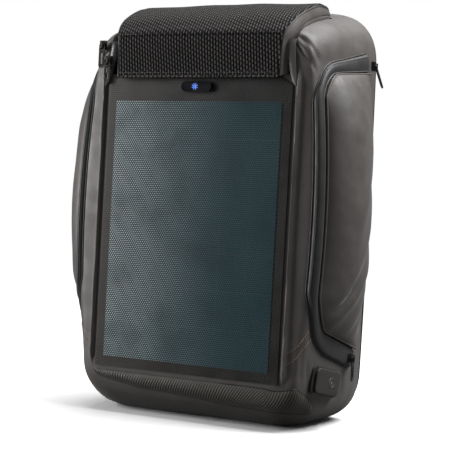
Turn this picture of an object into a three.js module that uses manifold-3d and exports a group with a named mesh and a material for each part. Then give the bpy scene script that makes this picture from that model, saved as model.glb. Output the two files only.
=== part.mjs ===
// Solar backpack: a padded fabric bag with a laminated solar panel on its front, a ribbed lid hinged at the
// top rear edge, two zipped side pockets, a covered USB port and padded shoulder straps.
// Millimetres, +Z up, front towards -Y. Everything is built in bag coordinates, where y = 0 is the face of
// the solar panel and z = 0 is the floor, and the group is then centred in depth.
import * as THREE from "three";
import { mergeVertices } from "three/addons/utils/BufferGeometryUtils.js";
import Module from "manifold-3d";

// ---- driving dimensions ----------------------------------------------------------------------------------
const DEPTH_CENTRE = 90.2; // bag y of the middle of the whole depth
const GAP = 0.4; // clearance between neighbouring pieces
const WALL = 3.5; // padded fabric wall

const BODY_FRONT = 3;
const BODY_REAR = 156;
// Cross-sections of the bag from front to rear: depth y, half width, bottom, top, radii of the shoulder and
// foot corners and how far the sides bow out between them.
const BODY_SECTIONS = [
  { y: BODY_FRONT, half: 120.5, bottom: 50, top: 430, corner: 20, foot: 20, bow: 1.5 },
  { y: 5.5, half: 133, bottom: 36, top: 438, corner: 30, foot: 32, bow: 10 },
  { y: 10, half: 137, bottom: 25, top: 443, corner: 34, foot: 38, bow: 13 },
  { y: 22, half: 141, bottom: 14, top: 450, corner: 36, foot: 44, bow: 11 },
  { y: 42, half: 147, bottom: 4, top: 457, corner: 40, foot: 50, bow: 6 },
  { y: 60, half: 151, bottom: 0, top: 463, corner: 44, foot: 54, bow: 4 },
  { y: 110, half: 158, bottom: 0, top: 476, corner: 58, foot: 54, bow: 2 },
  { y: 134, half: 160, bottom: 0, top: 483, corner: 62, foot: 54, bow: 1 },
  { y: 149, half: 160, bottom: 2, top: 487, corner: 64, foot: 54, bow: 1 },
  { y: BODY_REAR, half: 156, bottom: 7, top: 485, corner: 62, foot: 52, bow: 1 },
];

const PANEL = { half: 116, bottom: 54, top: 395, chamferWidth: 19.5, chamferHeight: 12.2 };
const CELLS = { half: 104.5, bottom: 66, top: 364, rows: 7, spacing: 0.5 };
const FILM = { front: -0.3, back: 0.3 };
const CELL = { front: 0.6, back: 1.1 };
const BACKSHEET = { front: 1.4, back: 2.6 };

// The lid is a shallow tray along this profile: outer edge (y, z), inner edge (y, z) and half widths there.
const LID_WALL = 3;
const LID_STATIONS = [
  { outer: [-7, 391], inner: [14, 400], outerHalf: 102, innerHalf: 111 },
  { outer: [-7, 415], inner: [14, 416], outerHalf: 102.5, innerHalf: 111 },
  { outer: [-6.5, 438], inner: [15, 428], outerHalf: 104, innerHalf: 112 },
  { outer: [2, 450], inner: [21, 436], outerHalf: 108, innerHalf: 113 },
  { outer: [12, 459], inner: [29, 441.5], outerHalf: 110, innerHalf: 113 },
  { outer: [34, 471], inner: [44, 450], outerHalf: 112, innerHalf: 113 },
  { outer: [60, 481], inner: [64, 457.5], outerHalf: 113, innerHalf: 113 },
  { outer: [85, 487], inner: [84, 464.5], outerHalf: 113, innerHalf: 113 },
  { outer: [100, 487.5], inner: [98, 469.5], outerHalf: 113, innerHalf: 113 },
  { outer: [109, 486.5], inner: [109, 473], outerHalf: 112.5, innerHalf: 112.5 },
];
const ZIP_CHANNEL = 5; // room beside the lid for the main zip
const ZIP_CHAIN = 2.4;

const POCKET = { front: 17, rear: 118, top: 396, topRise: 14, bottom: 120, bottomDrop: 30 };
const POCKET_CORNER = { share: 0.24, top: 24, bottom: 34 };
const POCKET_BULGE = 27;
const POCKET_SKIN = 3;
const POCKET_LIFT = 2.6; // band and pocket stand this far off the bag
const BAND_WIDTH = { front: 10, topGrowth: 6, bottomGrowth: 13 }; // the band widens towards its rear ends
const BAND_THICKNESS = 2;

const PORT = { y: 54, z: 56, turn: -0.2, tilt: -0.19, half: [27.5, 15.4], cover: [24.5, 14.4] };

// The back panel is a core inside the rear piping and a wider flange over it.
const BACK_PANEL = { half: 157, bottom: 9, top: 484, corner: 58, front: 157, flange: 161, rear: 165 };
const BACK_CORE_INSET = 9;

// ---- looks -----------------------------------------------------------------------------------------------
const FINISHES = {
  coated: [0x4a4644, 0.55, 0],
  ribbed: [0x2e2b2b, 0.7, 0],
  zipFabric: [0x15171a, 0.35, 0],
  lining: [0x55585c, 0.9, 0],
  board: [0x222222, 0.8, 0],
  bezel: [0x14110f, 0.4, 0],
  cells: [0x14303a, 0.35, 0.1],
  film: [0x30383c, 0.3, 0],
  gloss: [0x050506, 0.1, 0],
  plastic: [0x1b1b1d, 0.5, 0],
  rubber: [0x33312f, 0.7, 0],
  metal: [0x101012, 0.25, 0.9],
  mesh: [0x232325, 0.9, 0],
  webbing: [0x1a1a1c, 0.8, 0],
  circuit: [0x0c3b22, 0.5, 0],
};

const backpack = new THREE.Group();

function add(name, geometry, finish, parent = backpack) {
  const [color, roughness, metalness] = FINISHES[finish];
  const material = new THREE.MeshStandardMaterial({ color, roughness, metalness });
  const mesh = new THREE.Mesh(geometry, material);
  mesh.name = name;
  parent.add(mesh);
  return mesh;
}

// ---- geometry helpers ------------------------------------------------------------------------------------
const point = (x, y, z) => new THREE.Vector3(x, y, z);
const range = (count) => [...Array(count).keys()];
const lerp = THREE.MathUtils.lerp;

// A closed surface from points and triangles, turned to face outward.
function closedSurface(points, triangles) {
  let volume = 0;
  for (const [a, b, c] of triangles) {
    volume += points[a].dot(point(0, 0, 0).crossVectors(points[b], points[c]));
  }
  const facing = volume < 0 ? triangles.map(([a, b, c]) => [a, c, b]) : triangles;
  const positions = points.flatMap((p) => p.toArray());
  const geometry = new THREE.BufferGeometry();
  geometry.setAttribute("position", new THREE.Float32BufferAttribute(positions, 3));
  geometry.setIndex(facing.flat());
  geometry.computeVertexNormals();
  return geometry;
}

// A solid through rings of equal length, closed by a fan at each end.
function loft(rings) {
  const count = rings[0].length;
  const points = rings.flat();
  const triangles = [];
  for (let ring = 0; ring + 1 < rings.length; ring += 1) {
    for (let j = 0; j < count; j += 1) {
      const a = ring * count + j;
      const b = ring * count + ((j + 1) % count);
      triangles.push([a, b, b + count], [a, b + count, a + count]);
    }
  }
  for (const [start, reversed] of [[0, true], [(rings.length - 1) * count, false]]) {
    const centre = point(0, 0, 0);
    points.slice(start, start + count).forEach((p) => centre.addScaledVector(p, 1 / count));
    const middle = points.push(centre) - 1;
    for (let j = 0; j < count; j += 1) {
      const a = start + j;
      const b = start + ((j + 1) % count);
      triangles.push(reversed ? [middle, b, a] : [middle, a, b]);
    }
  }
  return closedSurface(points, triangles);
}

// A sheet with thickness, from two grids of points (rows of equal length) that face each other.
function sheet(outer, inner) {
  const rows = outer.length;
  const columns = outer[0].length;
  const points = [...outer.flat(), ...inner.flat()];
  const half = rows * columns;
  const triangles = [];
  for (let i = 0; i + 1 < rows; i += 1) {
    for (let j = 0; j + 1 < columns; j += 1) {
      const a = i * columns + j;
      const b = a + 1;
      const c = a + columns;
      const d = c + 1;
      triangles.push([a, b, d], [a, d, c]);
      triangles.push([half + a, half + d, half + b], [half + a, half + c, half + d]);
    }
  }
  const border = [
    ...range(columns - 1).map((j) => j),
    ...range(rows - 1).map((i) => i * columns + columns - 1),
    ...range(columns - 1).map((j) => half - 1 - j),
    ...range(rows - 1).map((i) => (rows - 1 - i) * columns),
  ];
  border.forEach((p, index) => {
    const q = border[(index + 1) % border.length];
    triangles.push([q, p, half + p], [q, half + p, half + q]);
  });
  return closedSurface(points, triangles);
}

function solid(geometry) {
  const bare = geometry.clone();
  bare.deleteAttribute("normal");
  bare.deleteAttribute("uv");
  const merged = mergeVertices(bare, 1e-4);
  const vertProperties = merged.attributes.position.array;
  return new wasm.Manifold(
    new wasm.Mesh({ numProp: 3, vertProperties, triVerts: new Uint32Array(merged.index.array) }),
  );
}

function surface(manifold) {
  const mesh = manifold.getMesh();
  const geometry = new THREE.BufferGeometry();
  geometry.setAttribute("position", new THREE.BufferAttribute(mesh.vertProperties, 3));
  geometry.setIndex(new THREE.BufferAttribute(mesh.triVerts, 1));
  geometry.computeVertexNormals();
  return geometry;
}

const cut = (geometry, ...tools) =>
  surface(tools.reduce((left, tool) => left.subtract(solid(tool)), solid(geometry)));
const join = (geometry, ...others) =>
  surface(others.reduce((left, other) => left.add(solid(other)), solid(geometry)));

// A box between two corners.
function box(low, high) {
  const size = high.map((value, axis) => value - low[axis]);
  const middle = high.map((value, axis) => (value + low[axis]) / 2);
  return new THREE.BoxGeometry(...size).translate(...middle);
}

// A rectangle with round corners in the XZ plane, extruded from y = front to y = back.
function roundedPlate(left, right, bottom, top, radius, front, back, steps = 4) {
  const outline = new THREE.Shape();
  outline.absarc(right - radius, top - radius, radius, 0, Math.PI / 2);
  outline.absarc(left + radius, top - radius, radius, Math.PI / 2, Math.PI);
  outline.absarc(left + radius, bottom + radius, radius, Math.PI, Math.PI * 1.5);
  outline.absarc(right - radius, bottom + radius, radius, Math.PI * 1.5, Math.PI * 2);
  return extrudeAlongY(outline, front, back, steps);
}

// An outline drawn with (x, z) as its coordinates, extruded from y = front to y = back.
function extrudeAlongY(outline, front, back, steps = 4) {
  const options = { depth: back - front, bevelEnabled: false, curveSegments: steps };
  return new THREE.ExtrudeGeometry(outline, options).rotateX(Math.PI / 2).translate(0, back, 0);
}

// A flat band along a list of points, with its width along one direction and its thickness along another.
function band(stations) {
  return loft(
    stations.map(({ at, across, through, width, thickness }) =>
      [[1, 1], [-1, 1], [-1, -1], [1, -1]].map(([side, face]) =>
        at.clone()
          .addScaledVector(across, (side * width) / 2)
          .addScaledVector(through, (face * thickness) / 2),
      ),
    ),
  );
}

// A round lead along a smooth curve through the given points.
function lead(points, radius) {
  const section = new THREE.Shape().absarc(0, 0, radius, 0, Math.PI * 2);
  const extrudePath = new THREE.CatmullRomCurve3(points.map((p) => point(...p)));
  return new THREE.ExtrudeGeometry(section, { extrudePath, steps: 18, curveSegments: 4 });
}

const wasm = await Module();
wasm.setup();

// ---- the bag's outer form --------------------------------------------------------------------------------
function ringOutline(section, inset) {
  const half = section.half - inset;
  const bottom = section.bottom + inset;
  const top = section.top - inset;
  const { corner, foot, bow } = section;
  const middle = (bottom + foot + top - corner) / 2;
  const outline = new THREE.Shape();
  outline.moveTo(-(half - foot), bottom);
  outline.lineTo(half - foot, bottom);
  outline.quadraticCurveTo(half, bottom, half, bottom + foot);
  outline.quadraticCurveTo(half + 2 * bow, middle, half, top - corner);
  outline.quadraticCurveTo(half, top, half - corner, top);
  outline.lineTo(-(half - corner), top);
  outline.quadraticCurveTo(-half, top, -half, top - corner);
  outline.quadraticCurveTo(-half - 2 * bow, middle, -half, bottom + foot);
  outline.quadraticCurveTo(-half, bottom, -(half - foot), bottom);
  const points = outline.getPoints(6);
  return points.slice(0, -1);
}

function bodyRing(section, inset) {
  const share = (section.y - BODY_FRONT) / (BODY_REAR - BODY_FRONT);
  const y = section.y + inset * Math.cos(Math.PI * share);
  return ringOutline(section, inset).map((p) => point(p.x, y, p.y));
}

const bodyForm = (inset) => loft(BODY_SECTIONS.map((section) => bodyRing(section, inset)));

// Half width of the bag's side at depth y and height z, between the corners.
function sideAt(y, z) {
  const last = BODY_SECTIONS.length - 2;
  const after = BODY_SECTIONS.findIndex((section) => section.y > y);
  const index = after < 0 ? last : Math.min(Math.max(after - 1, 0), last);
  const [a, b] = [BODY_SECTIONS[index], BODY_SECTIONS[index + 1]];
  const share = (y - a.y) / (b.y - a.y);
  const mix = (key) => lerp(a[key], b[key], share);
  const [low, high] = [mix("bottom") + mix("foot"), mix("top") - mix("corner")];
  const height = (2 * z - low - high) / (high - low);
  return mix("half") + mix("bow") * Math.max(0, 1 - height * height);
}

// The point that stands a distance off the bag's side at depth y and height z.
function offSide(y, z, lift) {
  const slope = sideAt(y + 0.5, z) - sideAt(y - 0.5, z);
  const length = Math.hypot(1, slope);
  return point(sideAt(y, z) + lift / length, y - (lift * slope) / length, z);
}

// ---- lid -------------------------------------------------------------------------------------------------
// The lid's profile as a loft, with its outer face moved outward, its inner edge moved inward and its sides
// moved outward by the given amounts. Straight sides keep the inner half width all the way out.
function lidForm({ outward, inward, sideways, ends, straight = false }) {
  const rings = LID_STATIONS.map(({ outer, inner, outerHalf, innerHalf }) => {
    const depth = Math.hypot(inner[0] - outer[0], inner[1] - outer[1]);
    const [dy, dz] = [(inner[0] - outer[0]) / depth, (inner[1] - outer[1]) / depth];
    const corners = [
      [(straight ? innerHalf : outerHalf) + sideways, outer[0] - dy * outward, outer[1] - dz * outward],
      [innerHalf + sideways, inner[0] + dy * inward, inner[1] + dz * inward],
    ];
    const [o, i] = corners.map(([x, y, z]) => [point(-x, y, z), point(x, y, z)]);
    return [i[0], o[0], o[1], i[1]];
  });
  rings[0].forEach((p) => p.add(point(0, 0, -ends)));
  rings.at(-1).forEach((p) => p.add(point(0, ends, 0)));
  return loft(rings);
}

function buildLid() {
  const form = lidForm({ outward: 0, inward: 0, sideways: 0, ends: 0 });
  const hollow = lidForm({ outward: -LID_WALL, inward: 3, sideways: -LID_WALL, ends: 0 });
  const hem = box([-140, 105, 440], [140, 120, 500]);
  const flapMouth = box([-(LID_STATIONS[0].outerHalf - LID_WALL), -4, 380], [99, 20, 402]);
  const cavity = surface(solid(hollow).subtract(solid(hem)));
  add("lid_shell", cut(form, cavity, flapMouth), "ribbed");

  const board = LID_STATIONS.slice(4, 8).map(({ outer, inner }) => {
    const depth = Math.hypot(inner[0] - outer[0], inner[1] - outer[1]);
    const at = (sunk) => outer.map((value, axis) => value + ((inner[axis] - value) * sunk) / depth);
    return [LID_WALL + 0.8, LID_WALL + 2.3].map((sunk) => [-104, 104].map((x) => point(x, ...at(sunk))));
  });
  add("lid_stiffener", sheet(board.map(([top]) => top), board.map(([, under]) => under)), "board");

  for (const [side, sign] of [["left", -1], ["right", 1]]) {
    const stations = LID_STATIONS.slice(0, -1).map(({ inner, innerHalf }) => ({
      at: point(sign * (innerHalf + ZIP_CHANNEL / 2), ...inner),
      across: point(1, 0, 0),
      width: ZIP_CHAIN,
      thickness: ZIP_CHAIN,
    }));
    stations.forEach((station, i) => {
      const before = stations[Math.max(i - 1, 0)].at;
      const after = stations[Math.min(i + 1, stations.length - 1)].at;
      const along = after.clone().sub(before).normalize();
      station.through = point(0, along.z, -along.y).normalize();
    });
    add(`main_zip_chain_${side}`, band(stations), "zipFabric");
  }
}

// ---- bag body --------------------------------------------------------------------------------------------
function buildBody() {
  const mouth = lidForm({ outward: 4, inward: 16, sideways: ZIP_CHANNEL, ends: 1, straight: true });
  const portHole = box([-20, -9.8, -6.3], [6, 9.8, 6.3]).applyMatrix4(portPlace());
  const shell = cut(bodyForm(0), bodyForm(WALL), mouth, portHole);
  const tongue = box([-94, BODY_FRONT + 0.2, 370], [94, BODY_FRONT + WALL - 0.2, 414]);
  add("body_shell", join(shell, tongue), "coated");

  add("bottom_board", roundedPlate(-104, 104, 64, 132, 12, 0, 2).rotateX(Math.PI / 2).translate(0, 196, 5),
    "board");
  add("laptop_sleeve", roundedPlate(-124, 124, 16, 316, 18, 119, 123), "lining");
  add("frame_sheet", roundedPlate(-128, 128, 34, 450, 40, 149.6, 151), "board");

  const sections = BODY_SECTIONS.slice(1, 4);
  const stripPoints = (lift) =>
    sections.map((section) => {
      const limit = section.bottom + section.foot / 2;
      return bodyRing(section, -lift).filter((p) => p.z < limit);
    });
  const ordered = (rows) => rows.map((row) => row.sort((a, b) => a.x - b.x));
  const [outer, inner] = [ordered(stripPoints(2.2)), ordered(stripPoints(0.7))];
  add("bottom_edge_strip", sheet(outer, inner), "ribbed");

  const rear = { ...BODY_SECTIONS.at(-1), y: 0 };
  const loop = ringOutline(rear, 0).map((p) => point(p.x, BODY_REAR + 2.6, p.y));
  const path = new THREE.CatmullRomCurve3(loop, true, "catmullrom", 0.5);
  add("rear_piping", new THREE.TubeGeometry(path, 72, 2, 6, true), "zipFabric");
}

// ---- solar panel and electronics -------------------------------------------------------------------------
function buildSolarPanel() {
  const { half, bottom, top, chamferWidth, chamferHeight } = PANEL;
  const outline = new THREE.Shape();
  outline.moveTo(-half, bottom);
  outline.lineTo(half, bottom);
  outline.lineTo(half, top - chamferHeight);
  outline.lineTo(half - chamferWidth, top);
  outline.lineTo(-half + chamferWidth, top);
  outline.lineTo(-half, top - chamferHeight);
  add("panel_backsheet", extrudeAlongY(outline, BACKSHEET.front, BACKSHEET.back), "bezel");
  add("panel_film", extrudeAlongY(outline, FILM.front, FILM.back), "film");
  const pitch = (CELLS.top - CELLS.bottom) / CELLS.rows;
  for (const row of range(CELLS.rows)) {
    const low = CELLS.bottom + row * pitch + CELLS.spacing / 2;
    const high = low + pitch - CELLS.spacing;
    add(`solar_cell_row_${row + 1}`, box([-CELLS.half, CELL.front, low], [CELLS.half, CELL.back, high]),
      "cells");
  }
}

function buildElectronics() {
  const middle = 380.6;
  const pill = (length, height, front, back) =>
    roundedPlate(-length, length, middle - height, middle + height, height, front, back, 6);
  const front = FILM.front - GAP;
  add("indicator_housing", cut(pill(19, 6, -3.6, front), pill(17, 4.2, -5, -1.6)), "plastic");
  add("indicator_lens", pill(16.6, 3.8, -3.4, -2), "gloss");
  add("indicator_board", box([-15, 7, 374], [15, 8.4, 388]), "circuit");
  add("panel_junction_box", roundedPlate(-20, 20, 196, 226, 3, 7, 14), "plastic");
  add("charge_controller", roundedPlate(52, 104, 82, 150, 4, 7, 21), "plastic");
  const sleeve = box([-104, 7, 60], [4, 27, 176]);
  add("power_bank_sleeve", cut(sleeve, box([-102, 9, 62], [2, 25, 190])), "lining");

  const leads = {
    panel_lead: [1.5, [20.4, 10.5, 211], [42, 10.5, 207], [66, 10.5, 180], [72, 13, 150.5]],
    indicator_lead: [1.1, [15.4, 8.3, 381], [52, 9.5, 366], [108, 10, 270], [108, 11, 200], [90, 13, 150.5]],
    usb_lead: [1.8, [105.2, 14, 104], [116, 15, 101], [130, 30, 76], [133, 46, 60], [136.6, 56.8, 56]],
  };
  for (const [name, [radius, ...points]] of Object.entries(leads)) {
    add(name, lead(points, radius), "plastic");
  }
}

// ---- port ------------------------------------------------------------------------------------------------
// The port's own frame on the bag's right side: x outward, y towards the rear, z up.
function portPlace() {
  const group = new THREE.Group();
  group.position.set(sideAt(PORT.y, PORT.z) + 1.4, PORT.y, PORT.z);
  group.rotation.set(PORT.tilt, 0, PORT.turn, "ZYX");
  group.updateMatrix();
  return group.matrix;
}

function buildPort() {
  const port = new THREE.Group();
  port.applyMatrix4(portPlace());
  backpack.add(port);
  const plate = (halves, radius, low, high) =>
    roundedPlate(-halves[0], halves[0], -halves[1], halves[1], radius, low, high).rotateZ(Math.PI / 2)
      .scale(-1, 1, 1);
  const opening = box([-1, -12, -8.4], [4, 12, 8.4]);
  add("port_frame", cut(closedSurfaceOf(plate(PORT.half, 7, 0.3, 1.7)), opening), "rubber", port);
  const mouth = box([-7.5, -6.6, -2.9], [4, 6.6, 2.9]);
  add("usb_socket", cut(box([-13, -9, -5.5], [1.6, 9, 5.5]), mouth), "metal", port);
  const hollow = box([0, -14, -9], [3.6, 14, 9]);
  add("port_cover", cut(closedSurfaceOf(plate(PORT.cover, 6, 2.1, 6.2)), hollow), "rubber", port);
}

// The same surface with its faces turned outward again after a mirroring.
function closedSurfaceOf(geometry) {
  const bare = geometry.clone();
  bare.deleteAttribute("normal");
  bare.deleteAttribute("uv");
  const merged = mergeVertices(bare, 1e-4);
  const { array } = merged.attributes.position;
  const points = range(array.length / 3).map((i) => point(...array.slice(3 * i, 3 * i + 3)));
  const index = merged.index.array;
  const triangles = range(index.length / 3).map((i) => [...index.slice(3 * i, 3 * i + 3)]);
  return closedSurface(points, triangles);
}

// ---- side pockets ----------------------------------------------------------------------------------------
// Height of the pocket's top or bottom edge at depth share u, 0 at its front and 1 at its rear.
function pocketEdge(u, isTop) {
  const round = (1 - Math.min(1, u / POCKET_CORNER.share)) ** 2;
  return isTop
    ? POCKET.top + POCKET.topRise * u - POCKET_CORNER.top * round
    : POCKET.bottom - POCKET.bottomDrop * u + POCKET_CORNER.bottom * round;
}

function pocketPoint(u, v, sunk) {
  const y = lerp(POCKET.front, POCKET.rear, u);
  const z = lerp(pocketEdge(u, false), pocketEdge(u, true), v);
  const alongDepth = Math.sin(0.96 * Math.PI * u ** 0.72) ** 0.8;
  const alongHeight = (1 - Math.abs(2 * v - 1) ** 3) ** 0.6;
  const bulge = POCKET_BULGE * alongDepth * alongHeight;
  return point(sideAt(y, z) + POCKET_LIFT + POCKET_SKIN + bulge - sunk, y, z);
}

// The zip band's line round the pocket, from the top rear end over the front to the bottom rear end: points
// (y, z) with the band's width there and the direction that points away from the pocket.
function bandLine() {
  const count = 9;
  const { front, topGrowth, bottomGrowth } = BAND_WIDTH;
  const [high, low] = [pocketEdge(0, true), pocketEdge(0, false)];
  const depth = (u) => lerp(POCKET.front, POCKET.rear, u);
  const topWidth = (u) => front + topGrowth * u;
  const bottomWidth = (u) => front + bottomGrowth * Math.min(1, u / 0.35);
  const line = [
    ...range(count).map((i) => 1 - i / count)
      .map((u) => ({ y: depth(u), z: pocketEdge(u, true), width: topWidth(u) })),
    ...range(count).map((i) => ({ y: POCKET.front, z: lerp(high, low, i / (count - 1)), width: front })),
    ...range(count).map((i) => (i + 1) / count)
      .map((u) => ({ y: depth(u), z: pocketEdge(u, false), width: bottomWidth(u) })),
  ];
  return line.map((station, i) => {
    const [before, after] = [line[Math.max(i - 1, 0)], line[Math.min(i + 1, line.length - 1)]];
    const along = new THREE.Vector2(after.y - before.y, after.z - before.z).normalize();
    return { ...station, away: [along.y, -along.x] };
  });
}

function buildPocket(side, sign) {
  const mirror = (p) => point(sign * p.x, p.y, p.z);
  const steps = 9;
  const grid = (sunk) =>
    range(steps).map((i) =>
      range(steps).map((j) => mirror(pocketPoint(i / (steps - 1), j / (steps - 1), sunk))),
    );
  add(`pocket_panel_${side}`, sheet(grid(0), grid(POCKET_SKIN)), "coated");

  const line = bandLine();
  const rows = (height) =>
    line.map(({ y, z, width, away }) =>
      range(5).map((step) => {
        const reach = 0.8 + (width * step) / 4;
        const at = [y + away[0] * reach, z + away[1] * reach];
        return mirror(offSide(...at, POCKET_LIFT + height));
      }),
    );
  add(`pocket_zip_band_${side}`, sheet(rows(BAND_THICKNESS), rows(0)), "zipFabric");
}

// ---- zip sliders and their pulls -------------------------------------------------------------------------
// In a slider's own frame x runs across, y up and z away from the cloth. The pull's bar lies at (0, 0, 5.2).
const SLIDER = { half: [4, 5.5], height: [0.6, 4.2], bar: 5.2 };

function sliderGeometry() {
  const [across, along] = SLIDER.half;
  const outline = new THREE.Shape();
  outline.moveTo(-across, along);
  outline.lineTo(across, along);
  outline.lineTo(across, 0);
  outline.quadraticCurveTo(across, -along, 0, -along);
  outline.quadraticCurveTo(-across, -along, -across, 0);
  const depth = SLIDER.height[1] - SLIDER.height[0];
  const body = new THREE.ExtrudeGeometry(outline, { depth, bevelEnabled: false, curveSegments: 4 })
    .translate(0, 0, SLIDER.height[0]);
  const bridge = cut(box([-1, -3.6, 3.8], [1, 3.6, 7.4]), box([-2, -2.6, 4.2], [2, 2.6, 6.2]));
  return join(body, bridge);
}

function pullGeometry() {
  const [half, end, radius] = [3.8, -27, 3.8];
  const outline = new THREE.Shape();
  outline.moveTo(-half, 0.65);
  outline.lineTo(-half, end + radius);
  outline.absarc(0, end + radius, radius, Math.PI, Math.PI * 2);
  outline.lineTo(half, 0.65);
  const plate = new THREE.ExtrudeGeometry(outline, { depth: 1.2, bevelEnabled: false, curveSegments: 8 })
    .translate(0, 0, SLIDER.bar - 0.6);
  const eye = box([-1.8, -5.6, 0], [1.8, -0.65, 9]);
  const slot = box([-1.5, -22, 0], [1.5, -9.5, 9]);
  return cut(plate, eye, slot);
}

// A slider and its pull at a place on the bag: outward is the way the slider faces.
function buildSlider(name, place, outward, lift = 0) {
  const group = new THREE.Group();
  const facing = outward.clone().normalize();
  const across = point(0, 0, 1).cross(facing).negate();
  const matrix = new THREE.Matrix4().makeBasis(across.clone().negate(), point(0, 0, 1), facing);
  group.applyMatrix4(matrix);
  group.position.copy(place);
  backpack.add(group);
  add(`${name}_slider`, sliderGeometry(), "metal", group);
  const pull = add(`${name}_pull`, pullGeometry(), "metal", group);
  pull.geometry.translate(0, 0, -SLIDER.bar).rotateX(-lift).translate(0, 0, SLIDER.bar);
}

function buildSliders() {
  for (const [index, x, z] of [[1, -118, 411], [2, -126.4, 429]]) {
    buildSlider(`main_zip_${index}`, point(x, BODY_FRONT - 0.6, z), point(0, -1, 0));
  }
  for (const [side, sign] of [["left", -1], ["right", 1]]) {
    for (const [end, y, z, lift] of [["top", 124, 419.5, 0.35], ["bottom", 103, 80, 0]]) {
      const place = point(sign * (sideAt(y, z) + POCKET_LIFT + BAND_THICKNESS + 0.2), y, z);
      buildSlider(`pocket_${side}_${end}`, place, point(sign, 0, 0), lift);
    }
  }
}

// ---- back panel, handle and straps -----------------------------------------------------------------------
function buildBack() {
  const { half, bottom, top, corner, front, flange, rear } = BACK_PANEL;
  const plate = (inset, from, to) =>
    roundedPlate(inset - half, half - inset, bottom + inset, top - inset, corner - inset, from, to, 6);
  add("back_panel", join(plate(BACK_CORE_INSET, front, rear), plate(0, flange, rear)), "coated");
  for (const [side, sign] of [["left", -1], ["right", 1]]) {
    const [low, high] = [18, 112].map((x) => sign * x).sort((a, b) => a - b);
    add(`back_pad_${side}`, roundedPlate(low, high, 150, 380, 16, rear + GAP, rear + 9, 4), "mesh");
  }
  add("lumbar_pad", roundedPlate(-94, 94, 44, 140, 18, rear + GAP, rear + 11, 4), "mesh");

  const grip = roundedPlate(-38, 38, 386, 424, 12, rear + 2, rear + 6.5);
  const fingers = roundedPlate(-23, 23, 400, 440, 8, rear, rear + 9);
  add("carry_handle", cut(grip, fingers), "webbing");
}

function strapStations(sign) {
  const route = [
    { at: [66, 168.6, 422], width: 50, thickness: 4 },
    { at: [67, 176, 408], width: 54, thickness: 8 },
    { at: [70, 181, 370], width: 62, thickness: 11 },
    { at: [77, 182, 310], width: 62, thickness: 11 },
    { at: [86, 182, 250], width: 56, thickness: 11 },
    { at: [92, 181, 204], width: 46, thickness: 8 },
    { at: [93, 181, 194], width: 34, thickness: 6 },
  ];
  return route.map(({ at: [x, y, z], width, thickness }) => ({
    at: point(sign * x, y, z),
    across: point(1, 0, 0),
    through: point(0, 1, 0),
    width,
    thickness,
  }));
}

function buildStraps() {
  for (const [side, sign] of [["left", -1], ["right", 1]]) {
    const stations = strapStations(sign);
    stations[0].through = point(0, 0.9, 0.4).normalize();
    add(`shoulder_strap_${side}`, band(stations), "mesh");

    const x = sign * 93;
    const lock = roundedPlate(x - 17, x + 17, 168, 193.4, 3, 178.6, 183.4);
    const slots = [171, 184].map((z) => box([x - 13.4, 170, z], [x + 13.4, 190, z + 4]));
    add(`ladder_lock_${side}`, cut(lock, ...slots), "plastic");

    const across = point(1, 0, -sign * 0.34).normalize();
    const through = point(0, 1, 0.08).normalize();
    const webbing = [[93.5, 180.4, 163], [106, 178.6, 130], [121, 170.5, 82], [127, 167.4, 60]];
    const flat = webbing.map(([wx, wy, wz]) => ({
      at: point(sign * wx, wy, wz),
      across,
      through,
      width: 25,
      thickness: 1.6,
    }));
    add(`lower_webbing_${side}`, band(flat), "webbing");
  }
}

buildBody();
buildLid();
buildSolarPanel();
buildElectronics();
buildPort();
buildPocket("left", -1);
buildPocket("right", 1);
buildSliders();
buildBack();
buildStraps();

backpack.position.y = -DEPTH_CENTRE;

export default backpack;
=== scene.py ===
"""Looks for the solar backpack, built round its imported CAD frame.

Shapes are worked out in bag millimetres, where y = 0 is the face of the solar panel and z = 0 is the floor,
and row() turns them into the frame's metres.
"""
import math
import bpy
import bmesh
import numpy as np
from mathutils import Matrix, Vector, noise


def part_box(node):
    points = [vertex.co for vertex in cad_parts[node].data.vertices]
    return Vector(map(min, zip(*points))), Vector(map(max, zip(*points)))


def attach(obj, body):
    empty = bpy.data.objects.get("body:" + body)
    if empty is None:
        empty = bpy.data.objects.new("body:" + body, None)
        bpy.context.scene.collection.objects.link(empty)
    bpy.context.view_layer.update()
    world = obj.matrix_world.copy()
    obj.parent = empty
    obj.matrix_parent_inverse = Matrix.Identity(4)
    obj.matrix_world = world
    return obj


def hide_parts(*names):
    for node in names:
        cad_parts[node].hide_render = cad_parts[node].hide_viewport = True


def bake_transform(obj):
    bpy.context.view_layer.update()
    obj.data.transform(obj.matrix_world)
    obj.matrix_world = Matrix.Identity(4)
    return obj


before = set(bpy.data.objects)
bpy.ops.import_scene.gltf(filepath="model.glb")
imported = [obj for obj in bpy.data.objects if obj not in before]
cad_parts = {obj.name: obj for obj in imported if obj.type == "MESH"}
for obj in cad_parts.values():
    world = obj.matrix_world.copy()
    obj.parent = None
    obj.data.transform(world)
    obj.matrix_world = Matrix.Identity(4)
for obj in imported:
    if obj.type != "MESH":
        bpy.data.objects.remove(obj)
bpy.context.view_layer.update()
scene = bpy.context.scene

MM = 0.001
FILM_FRONT = -0.3                                            # bag y of the film's face
FACE_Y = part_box("panel_film")[0].y / MM - FILM_FRONT         # row y, in mm, of bag y = 0
SIDES = (("left", -1), ("right", 1))
AXES = ((1, 0, 0), (0, 1, 0), (0, 0, 1))


def row(points):
    """Bag millimetres to the frame's metres."""
    return (np.asarray(points, float).reshape(-1, 3) + (0, FACE_Y, 0)) * MM


def spot(x, y, z):
    """One bag-millimetre point in the frame's metres."""
    return tuple(row((x, y, z))[0])


def span(node):
    """The low and high corner of a CAD node's box, in bag millimetres."""
    return [np.array(corner) / MM - (0, FACE_Y, 0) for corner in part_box(node)]


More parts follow.
